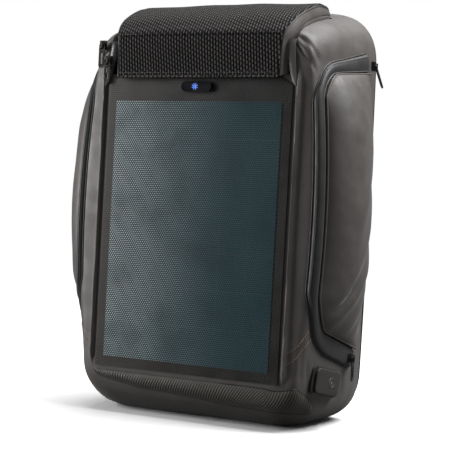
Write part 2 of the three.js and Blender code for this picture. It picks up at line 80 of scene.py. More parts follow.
# ---- camera, light and floor -----------------------------------------------------------------------
# The camera that was fitted to the photo: place and target in bag millimetres, focal length and roll.
CAMERA_PLACE, CAMERA_TARGET = (598.7, -1190.1, 234.3), (43.8, 0, 225.9)
CAMERA_LENS, CAMERA_ROLL = 93.98, 3.08


def look_at(position, target, roll_degrees):
    back = (position - target).normalized()
    right = (-back).cross(Vector((0, 0, 1))).normalized()
    up = right.cross(-back)
    roll = math.radians(roll_degrees)
    across = right * math.cos(roll) + up * math.sin(roll)
    upward = up * math.cos(roll) - right * math.sin(roll)
    return Matrix((across, upward, back)).transposed().to_4x4()


def build_camera():
    data = bpy.data.cameras.new("camera")
    data.lens = CAMERA_LENS
    data.sensor_width = 36
    camera = bpy.data.objects.new("camera", data)
    scene.collection.objects.link(camera)
    position, target = Vector(spot(*CAMERA_PLACE)), Vector(spot(*CAMERA_TARGET))
    camera.matrix_world = Matrix.Translation(position) @ look_at(position, target, CAMERA_ROLL)
    scene.camera = camera


def add_lamp(name, kind, position, target, power, colour=(1, 1, 1)):
    data = bpy.data.lights.new(name, kind)
    data.energy = power
    data.color = colour
    lamp = bpy.data.objects.new(name, data)
    scene.collection.objects.link(lamp)
    place = Vector(position)
    lamp.matrix_world = Matrix.Translation(place) @ look_at(place, Vector(target), 0)
    return data


def soft_box(name, position, power, width, height, colour=(1, 1, 1)):
    data = add_lamp(name, "AREA", position, (0, 0, 0.24), power, colour)
    data.shape = "RECTANGLE"
    data.size, data.size_y = width, height


def soft_sun(name, position, power, spread):
    """Even light from far away, so that the floor is white all the way to the edge of the picture."""
    add_lamp(name, "SUN", position, (0, 0, 0), power).angle = math.radians(spread)


def build_studio():
    """A white sweep for the camera; the bag itself only mirrors the lamps and a dim surrounding."""
    world = bpy.data.worlds.new("studio")
    world.use_nodes = True
    tree = world.node_tree
    seen = tree.nodes["Background"]
    seen.inputs["Color"].default_value = (1, 1, 1, 1)
    seen.inputs["Strength"].default_value = 1.0
    around = tree.nodes.new("ShaderNodeBackground")
    around.inputs["Strength"].default_value = 0.16
    chooser = tree.nodes.new("ShaderNodeMixShader")
    path = tree.nodes.new("ShaderNodeLightPath")
    tree.links.new(path.outputs["Is Camera Ray"], chooser.inputs["Fac"])
    tree.links.new(around.outputs[0], chooser.inputs[1])
    tree.links.new(seen.outputs[0], chooser.inputs[2])
    tree.links.new(chooser.outputs[0], tree.nodes["World Output"].inputs["Surface"])
    scene.world = world
    scene.view_settings.view_transform = "Standard"
    soft_sun("overhead", (0.12, 0.3, 1.0), 3.2, 60)
    soft_box("left_front", (-1.5, -0.95, 0.45), 44, 0.5, 1.5)
    soft_box("right_top", (1.1, 0.15, 1.5), 32, 1.0, 1.0)

    floor_mesh = bpy.data.meshes.new("floor")
    reach = 9.0
    corners = [(-reach, -reach, 0), (reach, -reach, 0), (reach, reach, 0), (-reach, reach, 0)]
    floor_mesh.from_pydata(corners, [], [(0, 1, 2, 3)])
    floor = bpy.data.objects.new("floor", floor_mesh)
    scene.collection.objects.link(floor)
    paper = Look("floor_paper", (0.96, 0.96, 0.96), 0.9)
    tooth = paper.noise(60, 3)
    paper.colour(paper.mix(tooth, (0.95, 0.95, 0.95), (0.98, 0.98, 0.98)))
    paper.seen_as(paper.node("BsdfDiffuse", {"Color": (0.12, 0.12, 0.12, 1)}).outputs[0])
    floor_mesh.materials.append(paper.material)


# ---- materials -------------------------------------------------------------------------------------
class Look:
    """A node material being put together round one Principled shader."""

    def __init__(self, name, colour, roughness, metallic=0.0, **uniform):
        self.material = bpy.data.materials.new(name)
        self.material.use_nodes = True
        self.tree = self.material.node_tree
        self.shader = self.tree.nodes["Principled BSDF"]
        self.shader.inputs["Base Color"].default_value = (*colour, 1)
        self.shader.inputs["Roughness"].default_value = roughness
        self.shader.inputs["Metallic"].default_value = metallic
        for socket, value in uniform.items():
            self.shader.inputs[socket.replace("_", " ")].default_value = value

    def node(self, kind, inputs=(), **settings):
        made = self.tree.nodes.new("ShaderNode" + kind)
        for key, value in settings.items():
            setattr(made, key, value)
        for key, value in dict(inputs).items():
            self.feed(made.inputs[key], value)
        return made

    def feed(self, socket, value):
        if isinstance(value, bpy.types.NodeSocket):
            self.tree.links.new(value, socket)
        else:
            socket.default_value = value

    def math(self, operation, *values):
        made = self.node("Math", operation=operation)
        for socket, value in zip(made.inputs, values):
            self.feed(socket, value)
        return made.outputs[0]

    def step(self, value, low, high, out_low=0.0, out_high=1.0):
        inputs = {"Value": value, "From Min": low, "From Max": high, "To Min": out_low, "To Max": out_high}
        return self.node("MapRange", inputs, interpolation_type="SMOOTHSTEP").outputs["Result"]

    def mix(self, factor, a, b):
        made = self.node("Mix", data_type="RGBA")
        self.feed(made.inputs[0], factor)
        for socket, colour in ((made.inputs[6], a), (made.inputs[7], b)):
            self.feed(socket, colour if isinstance(colour, bpy.types.NodeSocket) else (*colour, 1))
        return made.outputs[2]

    def place(self):
        return self.node("TexCoord").outputs["Object"]

    def cloth(self):
        """The distance across and along the cloth, in metres."""
        uv = self.node("UVMap", uv_map="cloth").outputs["UV"]
        parts = self.node("SeparateXYZ", {"Vector": uv}).outputs
        return parts["X"], parts["Y"]

    def axes(self):
        parts = self.node("SeparateXYZ", {"Vector": self.place()}).outputs
        return parts["X"], parts["Y"], parts["Z"]

    def noise(self, scale, detail=3.0, roughness=0.5, vector=None):
        inputs = {"Vector": vector or self.place(), "Scale": scale, "Detail": detail, "Roughness": roughness}
        return self.node("TexNoise", inputs).outputs["Fac"]

    def cells(self, scale, feature="F1"):
        inputs = {"Vector": self.place(), "Scale": scale}
        return self.node("TexVoronoi", inputs, feature=feature).outputs["Distance"]

    def edges(self, low=0.52, high=0.62):
        """1 on worn convex edges, 0 on flats."""
        return self.step(self.node("NewGeometry").outputs["Pointiness"], low, high)

    def wave(self, distance, pitch):
        """A cosine from 0 to 1 that repeats each pitch of that distance."""
        turns = self.math("MULTIPLY", distance, 2 * math.pi / pitch)
        return self.math("MULTIPLY_ADD", self.math("COSINE", turns), 0.5, 0.5)

    def colour(self, value):
        self.feed(self.shader.inputs["Base Color"], value)

    def rough(self, value):
        self.feed(self.shader.inputs["Roughness"], value)

    def bump(self, height, depth, strength=0.6):
        """Adds a bump of that depth in metres on top of what is there."""
        made = self.node("Bump", {"Height": height, "Distance": depth, "Strength": strength})
        before = self.shader.inputs["Normal"].links
        if before:
            self.tree.links.new(before[0].from_socket, made.inputs["Normal"])
        self.tree.links.new(made.outputs["Normal"], self.shader.inputs["Normal"])

    def seen_as(self, elsewhere):
        """Shows this look to the camera, and the other shader to everything that it lights."""
        path = self.node("LightPath")
        inputs = {"Fac": path.outputs["Is Camera Ray"], 1: elsewhere, 2: self.shader.outputs[0]}
        surface = self.tree.nodes["Material Output"].inputs["Surface"]
        self.feed(surface, self.node("MixShader", inputs).outputs[0])


def scaled(colour, share):
    return tuple(channel * share for channel in colour)


def coated_fabric(name, colour, roughness=0.5, grain=1.0):
    """Polyurethane-coated cloth: a fine weave printed through the coating, soft mottling, rubbed edges."""
    look = Look(name, colour, roughness, Sheen_Weight=0.12, Sheen_Roughness=0.5)
    mottle = look.noise(14, 4)
    patches = look.noise(55, 3)
    tone = look.mix(mottle, scaled(colour, 0.82), scaled(colour, 1.2))
    tone = look.mix(look.step(patches, 0.45, 0.75, 0, 0.35), tone, scaled(colour, 1.35))
    look.colour(look.mix(look.edges(0.53, 0.66), tone, scaled(colour, 1.8)))
    look.rough(look.step(patches, 0.3, 0.7, roughness - 0.07, roughness + 0.09))
    x, y, z = look.axes()
    warp = look.wave(look.math("ADD", x, y), 0.0011)
    weft = look.wave(z, 0.0011)
    weave = look.math("MULTIPLY", warp, weft)
    look.bump(weave, 0.00012 * grain, 0.35)
    look.bump(look.cells(620), 0.0001 * grain, 0.3)
    look.bump(look.noise(90, 4), 0.0006 * grain, 0.35)
    return look.material


RIB_PITCH = 3.5
RIB_DASH = 5.6
CORD_PITCH = 3.3
CORD_SLANT = 0.45


def ribbed_fabric(name, ground, thread):
    """Heavy rib textile: raised cords along the cloth, each broken into long staggered floats. The floats are
    lighter than the ground, partly by their own thread colour and partly as painted highlight on the rib tops.
    """
    look = Look(name, ground, 0.62, Specular_IOR_Level=0.1)
    u, v = look.cloth()
    pitch = RIB_PITCH * MM
    column = look.math("FLOOR", look.math("DIVIDE", u, pitch))
    rib = look.wave(look.math("SUBTRACT", u, pitch / 2), pitch)
    shift = look.math("MULTIPLY", column, 0.37)
    along = look.math("FRACT", look.math("ADD", look.math("DIVIDE", v, RIB_DASH * MM), shift))
    dash = look.math("SUBTRACT", 1.0, look.math("ABSOLUTE", look.math("MULTIPLY_ADD", along, 2.0, -1.0)))
    lit = look.math("MULTIPLY", look.step(rib, 0.45, 0.9), look.step(dash, 0.2, 0.62, 0.06, 1.0))
    twist = look.wave(look.math("ADD", v, look.math("MULTIPLY", u, 0.8)), 0.0009)
    uneven = look.noise(120, 2)
    # The lit floats take the thread colour: partly the threads' own colour, partly painted highlight on the
    # rib tops.
    float_tone_with_painted_highlight = look.mix(uneven, scaled(thread, 0.65), scaled(thread, 1.35))
    look.colour(look.mix(lit, ground, float_tone_with_painted_highlight))
    look.rough(look.step(lit, 0, 1, 0.7, 0.48))
    look.bump(rib, 0.0006, 0.5)
    look.bump(lit, 0.0004, 0.5)
    look.bump(twist, 0.0001, 0.4)
    return look.material


def corded_fabric(name, ground, thread):
    """Plain raised cords, unbroken along their length."""
    look = Look(name, ground, 0.6, Sheen_Weight=0.2, Sheen_Roughness=0.4)
    u, v = look.cloth()
    slant = look.math("MULTIPLY_ADD", v, CORD_SLANT, u)
    cord = look.wave(slant, CORD_PITCH * MM)
    uneven = look.noise(120, 2)
    look.colour(look.mix(look.step(cord, 0.3, 0.9), ground, look.mix(uneven, scaled(thread, 0.7), thread)))
    look.rough(look.step(uneven, 0.3, 0.7, 0.5, 0.65))
    look.bump(look.noise(500, 2), 0.0001, 0.4)
    return look.material


def woven_webbing(name, colour):
    look = Look(name, colour, 0.72, Sheen_Weight=0.25, Sheen_Roughness=0.4)
    u, v = look.cloth()
    zigzag = look.math("PINGPONG", u, 0.0045)
    chevron = look.wave(look.math("ADD", v, zigzag), 0.0016)
    threads = look.wave(u, 0.0008)
    height = look.math("MULTIPLY_ADD", threads, 0.35, chevron)
    fuzz = look.noise(400, 3)
    look.colour(look.mix(look.step(height, 0.2, 1.2), scaled(colour, 0.5), scaled(colour, 1.5)))
    look.rough(look.step(fuzz, 0.3, 0.7, 0.62, 0.82))
    look.bump(height, 0.0003, 0.6)
    look.bump(fuzz, 0.0001, 0.3)
    return look.material


def spacer_mesh(name, colour):
    """Knitted spacer mesh: staggered round holes through a soft face."""
    look = Look(name, colour, 0.85, Sheen_Weight=0.3, Sheen_Roughness=0.4)
    x, y, z = look.axes()
    holes = staggered_dots(look, x, z, 0.0042, 0.0030, 0.30, 0.42)
    fibres = look.noise(700, 3)
    ground = look.mix(fibres, scaled(colour, 0.75), scaled(colour, 1.3))
    look.colour(look.mix(holes, ground, scaled(colour, 0.18)))
    look.bump(look.math("SUBTRACT", 1.0, holes), 0.0009, 0.7)
    look.bump(fibres, 0.0002, 0.4)
    return look.material


def staggered_dots(look, x, z, pitch, row_pitch, inner, outer):
    """Staggered dots on an x, z grid: 1 inside a dot, 0 outside it."""
    level = look.math("DIVIDE", z, row_pitch)
    odd = look.math("MODULO", look.math("FLOOR", look.math("ADD", level, 4000.0)), 2.0)
    across = look.math("MULTIPLY_ADD", odd, 0.5, look.math("DIVIDE", look.math("ADD", x, 4.0), pitch))
    dx = look.math("SUBTRACT", look.math("FRACT", across), 0.5)
    dz = look.math("MULTIPLY", look.math("SUBTRACT", look.math("FRACT", level), 0.5), row_pitch / pitch)
    squares = look.math("ADD", look.math("MULTIPLY", dx, dx), look.math("MULTIPLY", dz, dz))
    return look.step(look.math("SQRT", squares), inner, outer, 1.0, 0.0)


DOT_PITCH = 0.00288
DOT_ROW = 0.00225
CELL_HALF = 104.5                                            # the solar cells' half width
CELL_MIDDLE, CELL_RISE = 215, 149                            # their middle height and half height


def embossed_film(name):
    """Clear front sheet, embossed with fine staggered dots: clear between the dots. The dots are tinted like
    what lies beneath them and painted lighter as highlight, most on the left as a painted reflection.
    """
    look = Look(name, (0.1, 0.12, 0.13), 0.5)
    x, y, z = look.axes()
    dots = staggered_dots(look, x, z, DOT_PITCH, DOT_ROW, 0.15, 0.29)
    level = look.math("SUBTRACT", z, CELL_MIDDLE * MM)
    outside = [look.math("SUBTRACT", look.math("ABSOLUTE", value), reach * MM)
               for value, reach in ((x, CELL_HALF), (level, CELL_RISE))]
    beside = look.math("MAXIMUM", *outside)
    border = look.step(beside, -0.0003, 0.0003)
    uneven = look.noise(26, 3)
    # Painted reflection: the dots over the cells and over the border are painted lighter towards the left.
    cell_tint_with_painted_reflection = look.mix(look.step(x, -0.125, 0.06), (0.52, 0.61, 0.63), (0.04, 0.10, 0.12))
    border_tint_with_painted_reflection = look.mix(look.step(x, -0.125, 0.03), (0.085, 0.068, 0.058), (0.012, 0.009, 0.007))
    tone = look.mix(border, cell_tint_with_painted_reflection, border_tint_with_painted_reflection)
    look.colour(look.mix(look.step(uneven, 0.25, 0.6, 0.55, 1.0), (0.02, 0.03, 0.032), tone))
    look.rough(look.step(uneven, 0.3, 0.7, 0.42, 0.55))
    look.feed(look.shader.inputs["Alpha"], look.step(dots, 0.0, 1.0, 0.02, 0.85))
    return look.material


def cell_surface(name):
    """Dark teal silicon with faint fingers, uneven tone from cell to cell, and a painted reflection that
    lightens its left side.
    """
    look = Look(name, (0.012, 0.04, 0.05), 0.4, Specular_IOR_Level=0.3)
    x, y, z = look.axes()
    clouds = look.noise(11, 3)
    fingers = look.wave(z, 0.0031)
    slices = look.math("FRACT", look.math("DIVIDE", look.math("ADD", x, 4.0), 0.0348))
    busbar = look.step(look.math("ABSOLUTE", look.math("SUBTRACT", slices, 0.5)), 0.485, 0.5)
    teal = look.mix(clouds, (0.005, 0.022, 0.030), (0.010, 0.036, 0.044))
    # Painted reflection: the cells are painted lighter towards the left.
    teal = look.mix(look.step(x, -0.11, 0.1, 0.4, 0.0), teal, (0.035, 0.062, 0.072))
    teal = look.mix(look.step(fingers, 0.86, 1.0, 0.0, 0.12), teal, (0.05, 0.08, 0.09))
    look.colour(look.mix(look.math("MULTIPLY", busbar, 0.2), teal, (0.07, 0.09, 0.10)))
    look.rough(look.step(clouds, 0.3, 0.7, 0.34, 0.46))
    look.bump(fingers, 0.00006, 0.3)
    return look.material


def moulded_plastic(name, colour, roughness=0.45, grain=1.0):
    look = Look(name, colour, roughness)
    speckle = look.noise(900, 2)
    smudge = look.noise(38, 4)
    tone = look.mix(smudge, scaled(colour, 0.85), scaled(colour, 1.2))
    look.colour(look.mix(look.edges(), tone, scaled(colour, 2.6)))
    look.rough(look.step(smudge, 0.3, 0.75, roughness - 0.06, roughness + 0.12))
    look.bump(speckle, 0.00006 * grain, 0.4)
    return look.material


def plated_metal(name, colour, roughness=0.24):
    """Black-nickel zip metal, polished, scratched and rubbed brighter on its edges."""
    look = Look(name, colour, roughness, metallic=0.92)
    scratches = look.noise(260, 5, 0.7)
    tone = look.mix(scratches, scaled(colour, 0.8), scaled(colour, 1.35))
    look.colour(look.mix(look.edges(0.54, 0.7), tone, (0.16, 0.155, 0.15)))
    look.rough(look.step(scratches, 0.35, 0.7, roughness - 0.04, roughness + 0.10))
    look.bump(scratches, 0.00001, 0.3)
    return look.material


def plain_lining(name, colour):
    look = Look(name, colour, 0.8, Sheen_Weight=0.15, Sheen_Roughness=0.5)
    x, y, z = look.axes()
    twill = look.wave(look.math("ADD", look.math("ADD", x, y), z), 0.0012)
    folds = look.noise(24, 4)
    look.colour(look.mix(folds, scaled(colour, 0.8), scaled(colour, 1.15)))
    look.bump(twill, 0.00015, 0.5)
    look.bump(folds, 0.0015, 0.5)
    return look.material


def fibre_board(name, colour):
    look = Look(name, colour, 0.7)
    flecks = look.noise(420, 5, 0.8)
    look.colour(look.mix(look.step(flecks, 0.4, 0.65), scaled(colour, 0.75), scaled(colour, 1.4)))
    look.bump(flecks, 0.0001, 0.4)
    return look.material


def circuit_surface(name):
    look = Look(name, (0.01, 0.07, 0.03), 0.35, Coat_Weight=0.5, Coat_Roughness=0.15)
    tracks = look.cells(420, "DISTANCE_TO_EDGE")
    look.colour(look.mix(look.step(tracks, 0.03, 0.06), (0.03, 0.14, 0.06), (0.006, 0.045, 0.022)))
    look.bump(tracks, 0.00005, 0.3)
    return look.material


def glowing(name, colour, strength):
    look = Look(name, (0.02, 0.04, 0.2), 0.4)
    halo = look.noise(900, 1)
    look.feed(look.shader.inputs["Emission Color"], look.mix(halo, scaled(colour, 0.8), colour))
    look.shader.inputs["Emission Strength"].default_value = strength
    return look.material


def sewing_thread(name, colour):
    look = Look(name, colour, 0.6, Sheen_Weight=0.3, Sheen_Roughness=0.3)
    strands = look.noise(1500, 2)
    look.colour(look.mix(strands, scaled(colour, 0.6), scaled(colour, 1.3)))
    look.bump(strands, 0.00008, 0.5)
    return look.material


# ---- mesh helpers ----------------------------------------------------------------------------------
def add_piece(name, points, faces, materials, body=None, cloth=None, slot=None, crease=38,
              face_slots=None):
    """A mesh from bag-millimetre points. cloth gives each point's distance across and along it, in mm."""
    mesh = bpy.data.meshes.new(name)
    mesh.from_pydata(row(points).tolist(), [], [tuple(int(i) for i in face) for face in faces])
    for material in materials if isinstance(materials, (list, tuple)) else [materials]:
        mesh.materials.append(material)
    if face_slots is not None:
        mesh.polygons.foreach_set("material_index", np.asarray(face_slots, np.int32))
    if cloth is not None:
        layer = mesh.uv_layers.new(name="cloth")
        corners = np.zeros(len(mesh.loops), np.int32)
        mesh.loops.foreach_get("vertex_index", corners)
        layer.data.foreach_set("uv", (np.asarray(cloth, float)[corners] * MM).ravel())
    return finish_piece(name, mesh, body, crease)


def finish_piece(name, mesh, body, crease=38):
    outward(mesh)
    mesh.shade_smooth()
    mesh.set_sharp_from_angle(angle=math.radians(crease))
    made = bpy.data.objects.new(name, mesh)
    scene.collection.objects.link(made)
    if body:
        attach(made, body)
    return made


def outward(mesh):
    """Turns every face of a closed mesh outward."""
    working = bmesh.new()
    working.from_mesh(mesh)
    bmesh.ops.recalc_face_normals(working, faces=working.faces)
    working.to_mesh(mesh)
    working.free()


def grid_faces(rows, columns, around=False, first=0):
    faces = []
    for i in range(rows - 1):
        for j in range(columns if around else columns - 1):
            a = first + i * columns + j
            b = first + i * columns + (j + 1) % columns
            faces.append((a, b, b + columns, a + columns))
    return faces


def grid_normals(grid, around=False):
    """Unit normals of a grid of points, by the cross product of its two directions."""
    along = np.gradient(grid, axis=0)
    if around:
        across = (np.roll(grid, -1, axis=1) - np.roll(grid, 1, axis=1)) / 2
    else:
        across = np.gradient(grid, axis=1)
    normals = np.cross(across, along)
    return normals / np.maximum(np.linalg.norm(normals, axis=2, keepdims=True), 1e-9)


def measured(grid):
    """Distance across and along a grid of points, in mm, for its cloth map."""
    across = np.linalg.norm(np.diff(grid, axis=1), axis=2)
    along = np.linalg.norm(np.diff(grid, axis=0), axis=2)
    u = np.concatenate([np.zeros((len(grid), 1)), np.cumsum(across, axis=1)], axis=1)
    v = np.concatenate([np.zeros((1, grid.shape[1])), np.cumsum(along, axis=0)], axis=0)
    return np.stack([u - u.mean(axis=1, keepdims=True), v], axis=2)


def add_sheet(name, outer, inner, materials, body=None, cloth=None, **more):
    """A sheet with thickness between two grids. Its second material, if any, is on the inner face."""
    rows, columns = outer.shape[:2]
    half = rows * columns
    faces = grid_faces(rows, columns)
    front = len(faces)
    faces += [tuple(reversed(face)) for face in grid_faces(rows, columns, first=half)]
    border = list(range(columns - 1))
    border += [i * columns + columns - 1 for i in range(rows - 1)]
    border += [half - 1 - j for j in range(columns - 1)]
    border += [(rows - 1 - i) * columns for i in range(rows - 1)]
    for p, q in zip(border, border[1:] + border[:1]):
        faces.append((q, p, half + p, half + q))
    listed = materials if isinstance(materials, (list, tuple)) else [materials]
    inner_slot = len(listed) - 1
    slots = [0] * front + [inner_slot] * front + [0] * (len(faces) - 2 * front)
    cloth = measured(outer) if cloth is None else cloth
    points = np.concatenate([outer.reshape(-1, 3), inner.reshape(-1, 3)])
    cloth = np.tile(cloth.reshape(-1, 2), (2, 1))
    return add_piece(name, points, faces, listed, body, cloth, face_slots=slots, **more)


def frames_along(path, closed=False):
    """Unit tangents of a path of points."""
    if closed:
        ahead = np.roll(path, -1, axis=0) - np.roll(path, 1, axis=0)
    else:
        ahead = np.gradient(path, axis=0)
    return ahead / np.maximum(np.linalg.norm(ahead, axis=1, keepdims=True), 1e-9)


def spline(points, count):
    """A smooth curve through the points, evenly spaced along its length."""
    control = np.asarray(points, float)
    before, after = 2 * control[:1] - control[1:2], 2 * control[-1:] - control[-2:-1]
    control = np.concatenate([before, control, after])
    fine = []
    for p0, p1, p2, p3 in zip(control, control[1:], control[2:], control[3:]):
        t = np.linspace(0, 1, 24, endpoint=False)[:, None]
        fine.append(0.5 * (2 * p1 + (p2 - p0) * t + (2 * p0 - 5 * p1 + 4 * p2 - p3) * t ** 2
                           + (3 * p1 - p0 - 3 * p2 + p3) * t ** 3))
    fine = np.concatenate(fine + [control[-2:-1]])
    return resample(fine, count)


def lengths_along(line):
    """Each point's distance from the line's start, along the line."""
    return np.concatenate([[0], np.cumsum(np.linalg.norm(np.diff(line, axis=0), axis=1))])


def resample(line, count):
    lengths = lengths_along(line)
    wanted = np.linspace(0, lengths[-1], count)
    return np.stack([np.interp(wanted, lengths, line[:, axis]) for axis in range(line.shape[1])], axis=1)


def sweep(name, path, across, sections, materials, body=None, closed=False, **more):
    """A solid along a path. Each section is a closed outline of (across, through) offsets at its point."""
    tangents = frames_along(path, closed)
    across = np.broadcast_to(np.asarray(across, float), path.shape)
    across = across - tangents * np.sum(across * tangents, axis=1, keepdims=True)
    across = across / np.linalg.norm(across, axis=1, keepdims=True)
    through = np.cross(tangents, across)
    sections = np.broadcast_to(np.asarray(sections, float), (len(path), *np.shape(sections)[-2:]))
    points = path[:, None] + sections[..., :1] * across[:, None] + sections[..., 1:] * through[:, None]
    count = sections.shape[1]
    rows = len(path)
    faces = grid_faces(rows, count, around=True)
    if closed:
        last = (rows - 1) * count
        faces += [(last + j, last + (j + 1) % count, (j + 1) % count, j) for j in range(count)]
    else:
        faces += [tuple(range(count)), tuple(reversed(range((rows - 1) * count, rows * count)))]
    lengths = lengths_along(path)[:, None]
    cloth = np.stack([sections[..., 0], np.broadcast_to(lengths, sections.shape[:2])], axis=2)
    return add_piece(name, points, faces, materials, body, cloth.reshape(-1, 2), **more)


def capped(rings):
    """Points and faces of a solid through rings of points, closed by a flat face at each end."""
    grid = np.array(rings)
    rows, columns = grid.shape[:2]
    ends = [tuple(reversed(range(columns))), tuple(range((rows - 1) * columns, rows * columns))]
    return grid.reshape(-1, 3), grid_faces(rows, columns, around=True) + ends


def round_corners(half_width, half_height, radius, count, bend=None):
    """A flat outline with round corners about its middle. bend is the radius drawn about the corners'
    centres, where the outline stands off from the one that radius gives."""
    bend = radius if bend is None else bend
    turn = np.radians(np.concatenate([np.linspace(start, start + 90, count) for start in (0, 90, 180, 270)]))
    signs = np.repeat([(1, 1), (-1, 1), (-1, -1), (1, -1)], count, axis=0)
    return np.stack([signs[:, 0] * (half_width - radius) + bend * np.cos(turn),
                     signs[:, 1] * (half_height - radius) + bend * np.sin(turn)], axis=1)


def rounded_section(width, thickness, power=5.0, count=24):
    """A flat section with round edges, as a superellipse."""
    angle = np.linspace(0, 2 * math.pi, count, endpoint=False)
    cosine, sine = np.cos(angle), np.sin(angle)
    return np.stack([np.sign(cosine) * np.abs(cosine) ** (2 / power) * width / 2,
                     np.sign(sine) * np.abs(sine) ** (2 / 2.6) * thickness / 2], axis=1)


def round_section(radius, count=10):
    angle = np.linspace(0, 2 * math.pi, count, endpoint=False)
    return np.stack([np.cos(angle), np.sin(angle)], axis=1) * radius


def tube(name, path, radius, materials, body=None, across=(0, 0, 1), closed=False, count=10, **more):
    return sweep(name, path, across, round_section(radius, count), materials, body, closed, **more)


def add_many(name, parts, materials, body, **more):
    """One piece from many small closed parts, each given as (points, faces)."""
    points, faces = [], []
    for part_points, part_faces in parts:
        base = sum(len(p) for p in points)
        points.append(part_points)
        faces += [tuple(base + i for i in face) for face in part_faces]
    return add_piece(name, np.concatenate(points), faces, materials, body, **more)


def block(middle, axes, sizes, taper=0.72):
    """A small block with bevelled ends: points and faces. axes are unit vectors, sizes full lengths."""
    middle, axes = np.asarray(middle, float), np.asarray(axes, float)
    points = []
    for level, share in ((-0.5, taper), (-0.3, 1.0), (0.3, 1.0), (0.5, taper)):
        for a, b in ((-0.5, -0.5), (0.5, -0.5), (0.5, 0.5), (-0.5, 0.5)):
            points.append(middle + axes[0] * sizes[0] * level + axes[1] * sizes[1] * a * share
                          + axes[2] * sizes[2] * b * share)
    faces = grid_faces(4, 4, around=True) + [(3, 2, 1, 0), (12, 13, 14, 15)]
    return np.array(points), faces


def stitch_line(name, path, outward_way, spacing, length, radius, material, body, **more):
    """Separate stitches along a path, each a slim block lying on the cloth."""
    total = np.linalg.norm(np.diff(path, axis=0), axis=1).sum()
    count = max(2, int(total / spacing))
    places = resample(path, count)
    tangents = frames_along(places)
    ways = np.broadcast_to(np.asarray(outward_way, float), path.shape)
    ways = resample(ways, count) if len(ways) == len(path) else ways
    parts = []
    for place, tangent, way in zip(places, tangents, ways):
        way = way - tangent * (way @ tangent)
        way = way / np.linalg.norm(way)
        axes = (tangent, np.cross(way, tangent), way)
        parts.append(block(place, axes, (length, radius * 2, radius * 2), 0.5))
    return add_many(name, parts, material, body, **more)


def softly(points, scale, depth, seed=0.0):
    """Smooth random heights in mm for points in mm."""
    shift = Vector((seed, seed * 1.7, -seed))
    heights = [noise.noise(Vector(point) / scale + shift) for point in points.reshape(-1, 3)]
    return np.array(heights).reshape(points.shape[:-1]) * depth


def crease(points, start, end, width, depth):
    """Heights of a valley from start to end with a softer ridge beside it, tapering at both ends."""
    start, end = np.asarray(start, float), np.asarray(end, float)
    along = end - start
    share = np.clip(((points - start) @ along) / (along @ along), -0.3, 1.3)
    away = points - (start + share[..., None] * along)
    distance = np.linalg.norm(away, axis=-1)
    taper = np.clip(1 - np.abs(share - 0.5) / 0.8, 0, 1) ** 0.7
    ridge = 0.45 * np.exp(-((distance - 1.9 * width) / width) ** 2)
    return depth * taper * (np.exp(-(distance / width) ** 2) - ridge)


# ---- the bag's outer form --------------------------------------------------------------------------
# Cross-sections from front to rear: depth y, half width, bottom, top, radii of the shoulder and foot corners,
# bow of the sides.
BODY = np.array([
    (3, 120.5, 50, 430, 20, 20, 1.5),
    (5.5, 133, 36, 438, 30, 32, 10),
    (10, 137, 25, 443, 34, 38, 13),
    (22, 141, 14, 450, 36, 44, 11),
    (42, 147, 4, 457, 40, 50, 6),
    (60, 151, 0, 463, 44, 54, 4),
    (110, 158, 0, 476, 58, 54, 2),
    (134, 160, 0, 483, 62, 54, 1),
    (149, 160, 2, 487, 64, 54, 1),
    (156, 156, 7, 485, 62, 52, 1),
], float)
WALL = 3.5


def smooth_rows(table, at):
    """The table's rows at fractional row numbers, smooth and without overshoot."""
    at = np.atleast_1d(np.asarray(at, float))
    step = np.diff(table, axis=0)
    slope = np.zeros_like(table)
    same = step[:-1] * step[1:] > 0
    total = step[:-1] + step[1:]
    slope[1:-1] = np.where(same, 2 * step[:-1] * step[1:] / np.where(total == 0, 1, total), 0)
    slope[0], slope[-1] = step[0], step[-1]
    index = np.clip(at.astype(int), 0, len(table) - 2)
    t = (at - index)[:, None]
    return (table[index] * (2 * t ** 3 - 3 * t ** 2 + 1) + slope[index] * (t ** 3 - 2 * t ** 2 + t)
            + table[index + 1] * (3 * t ** 2 - 2 * t ** 3) + slope[index + 1] * (t ** 3 - t ** 2))


FINE_BODY = smooth_rows(BODY, np.linspace(0, len(BODY) - 1, 400))


def side_at(y, z):
    """Half width of the bag's side at depth y and height z."""
    columns = FINE_BODY[:, 1:].T
    half, bottom, top, corner, foot, bow = (np.interp(y, FINE_BODY[:, 0], column) for column in columns)
    low, high = bottom + foot, top - corner
    height = (2 * z - low - high) / (high - low)
    return half + bow * np.clip(1 - height ** 2, 0, None)


def off_side(y, z, lift):
    """Points that stand off the bag's right side."""
    y, z = np.broadcast_arrays(np.asarray(y, float), np.asarray(z, float))
    slope = side_at(y + 0.5, z) - side_at(y - 0.5, z)
    length = np.hypot(1, slope)
    return np.stack([side_at(y, z) + lift / length, y - lift * slope / length, z], axis=-1)


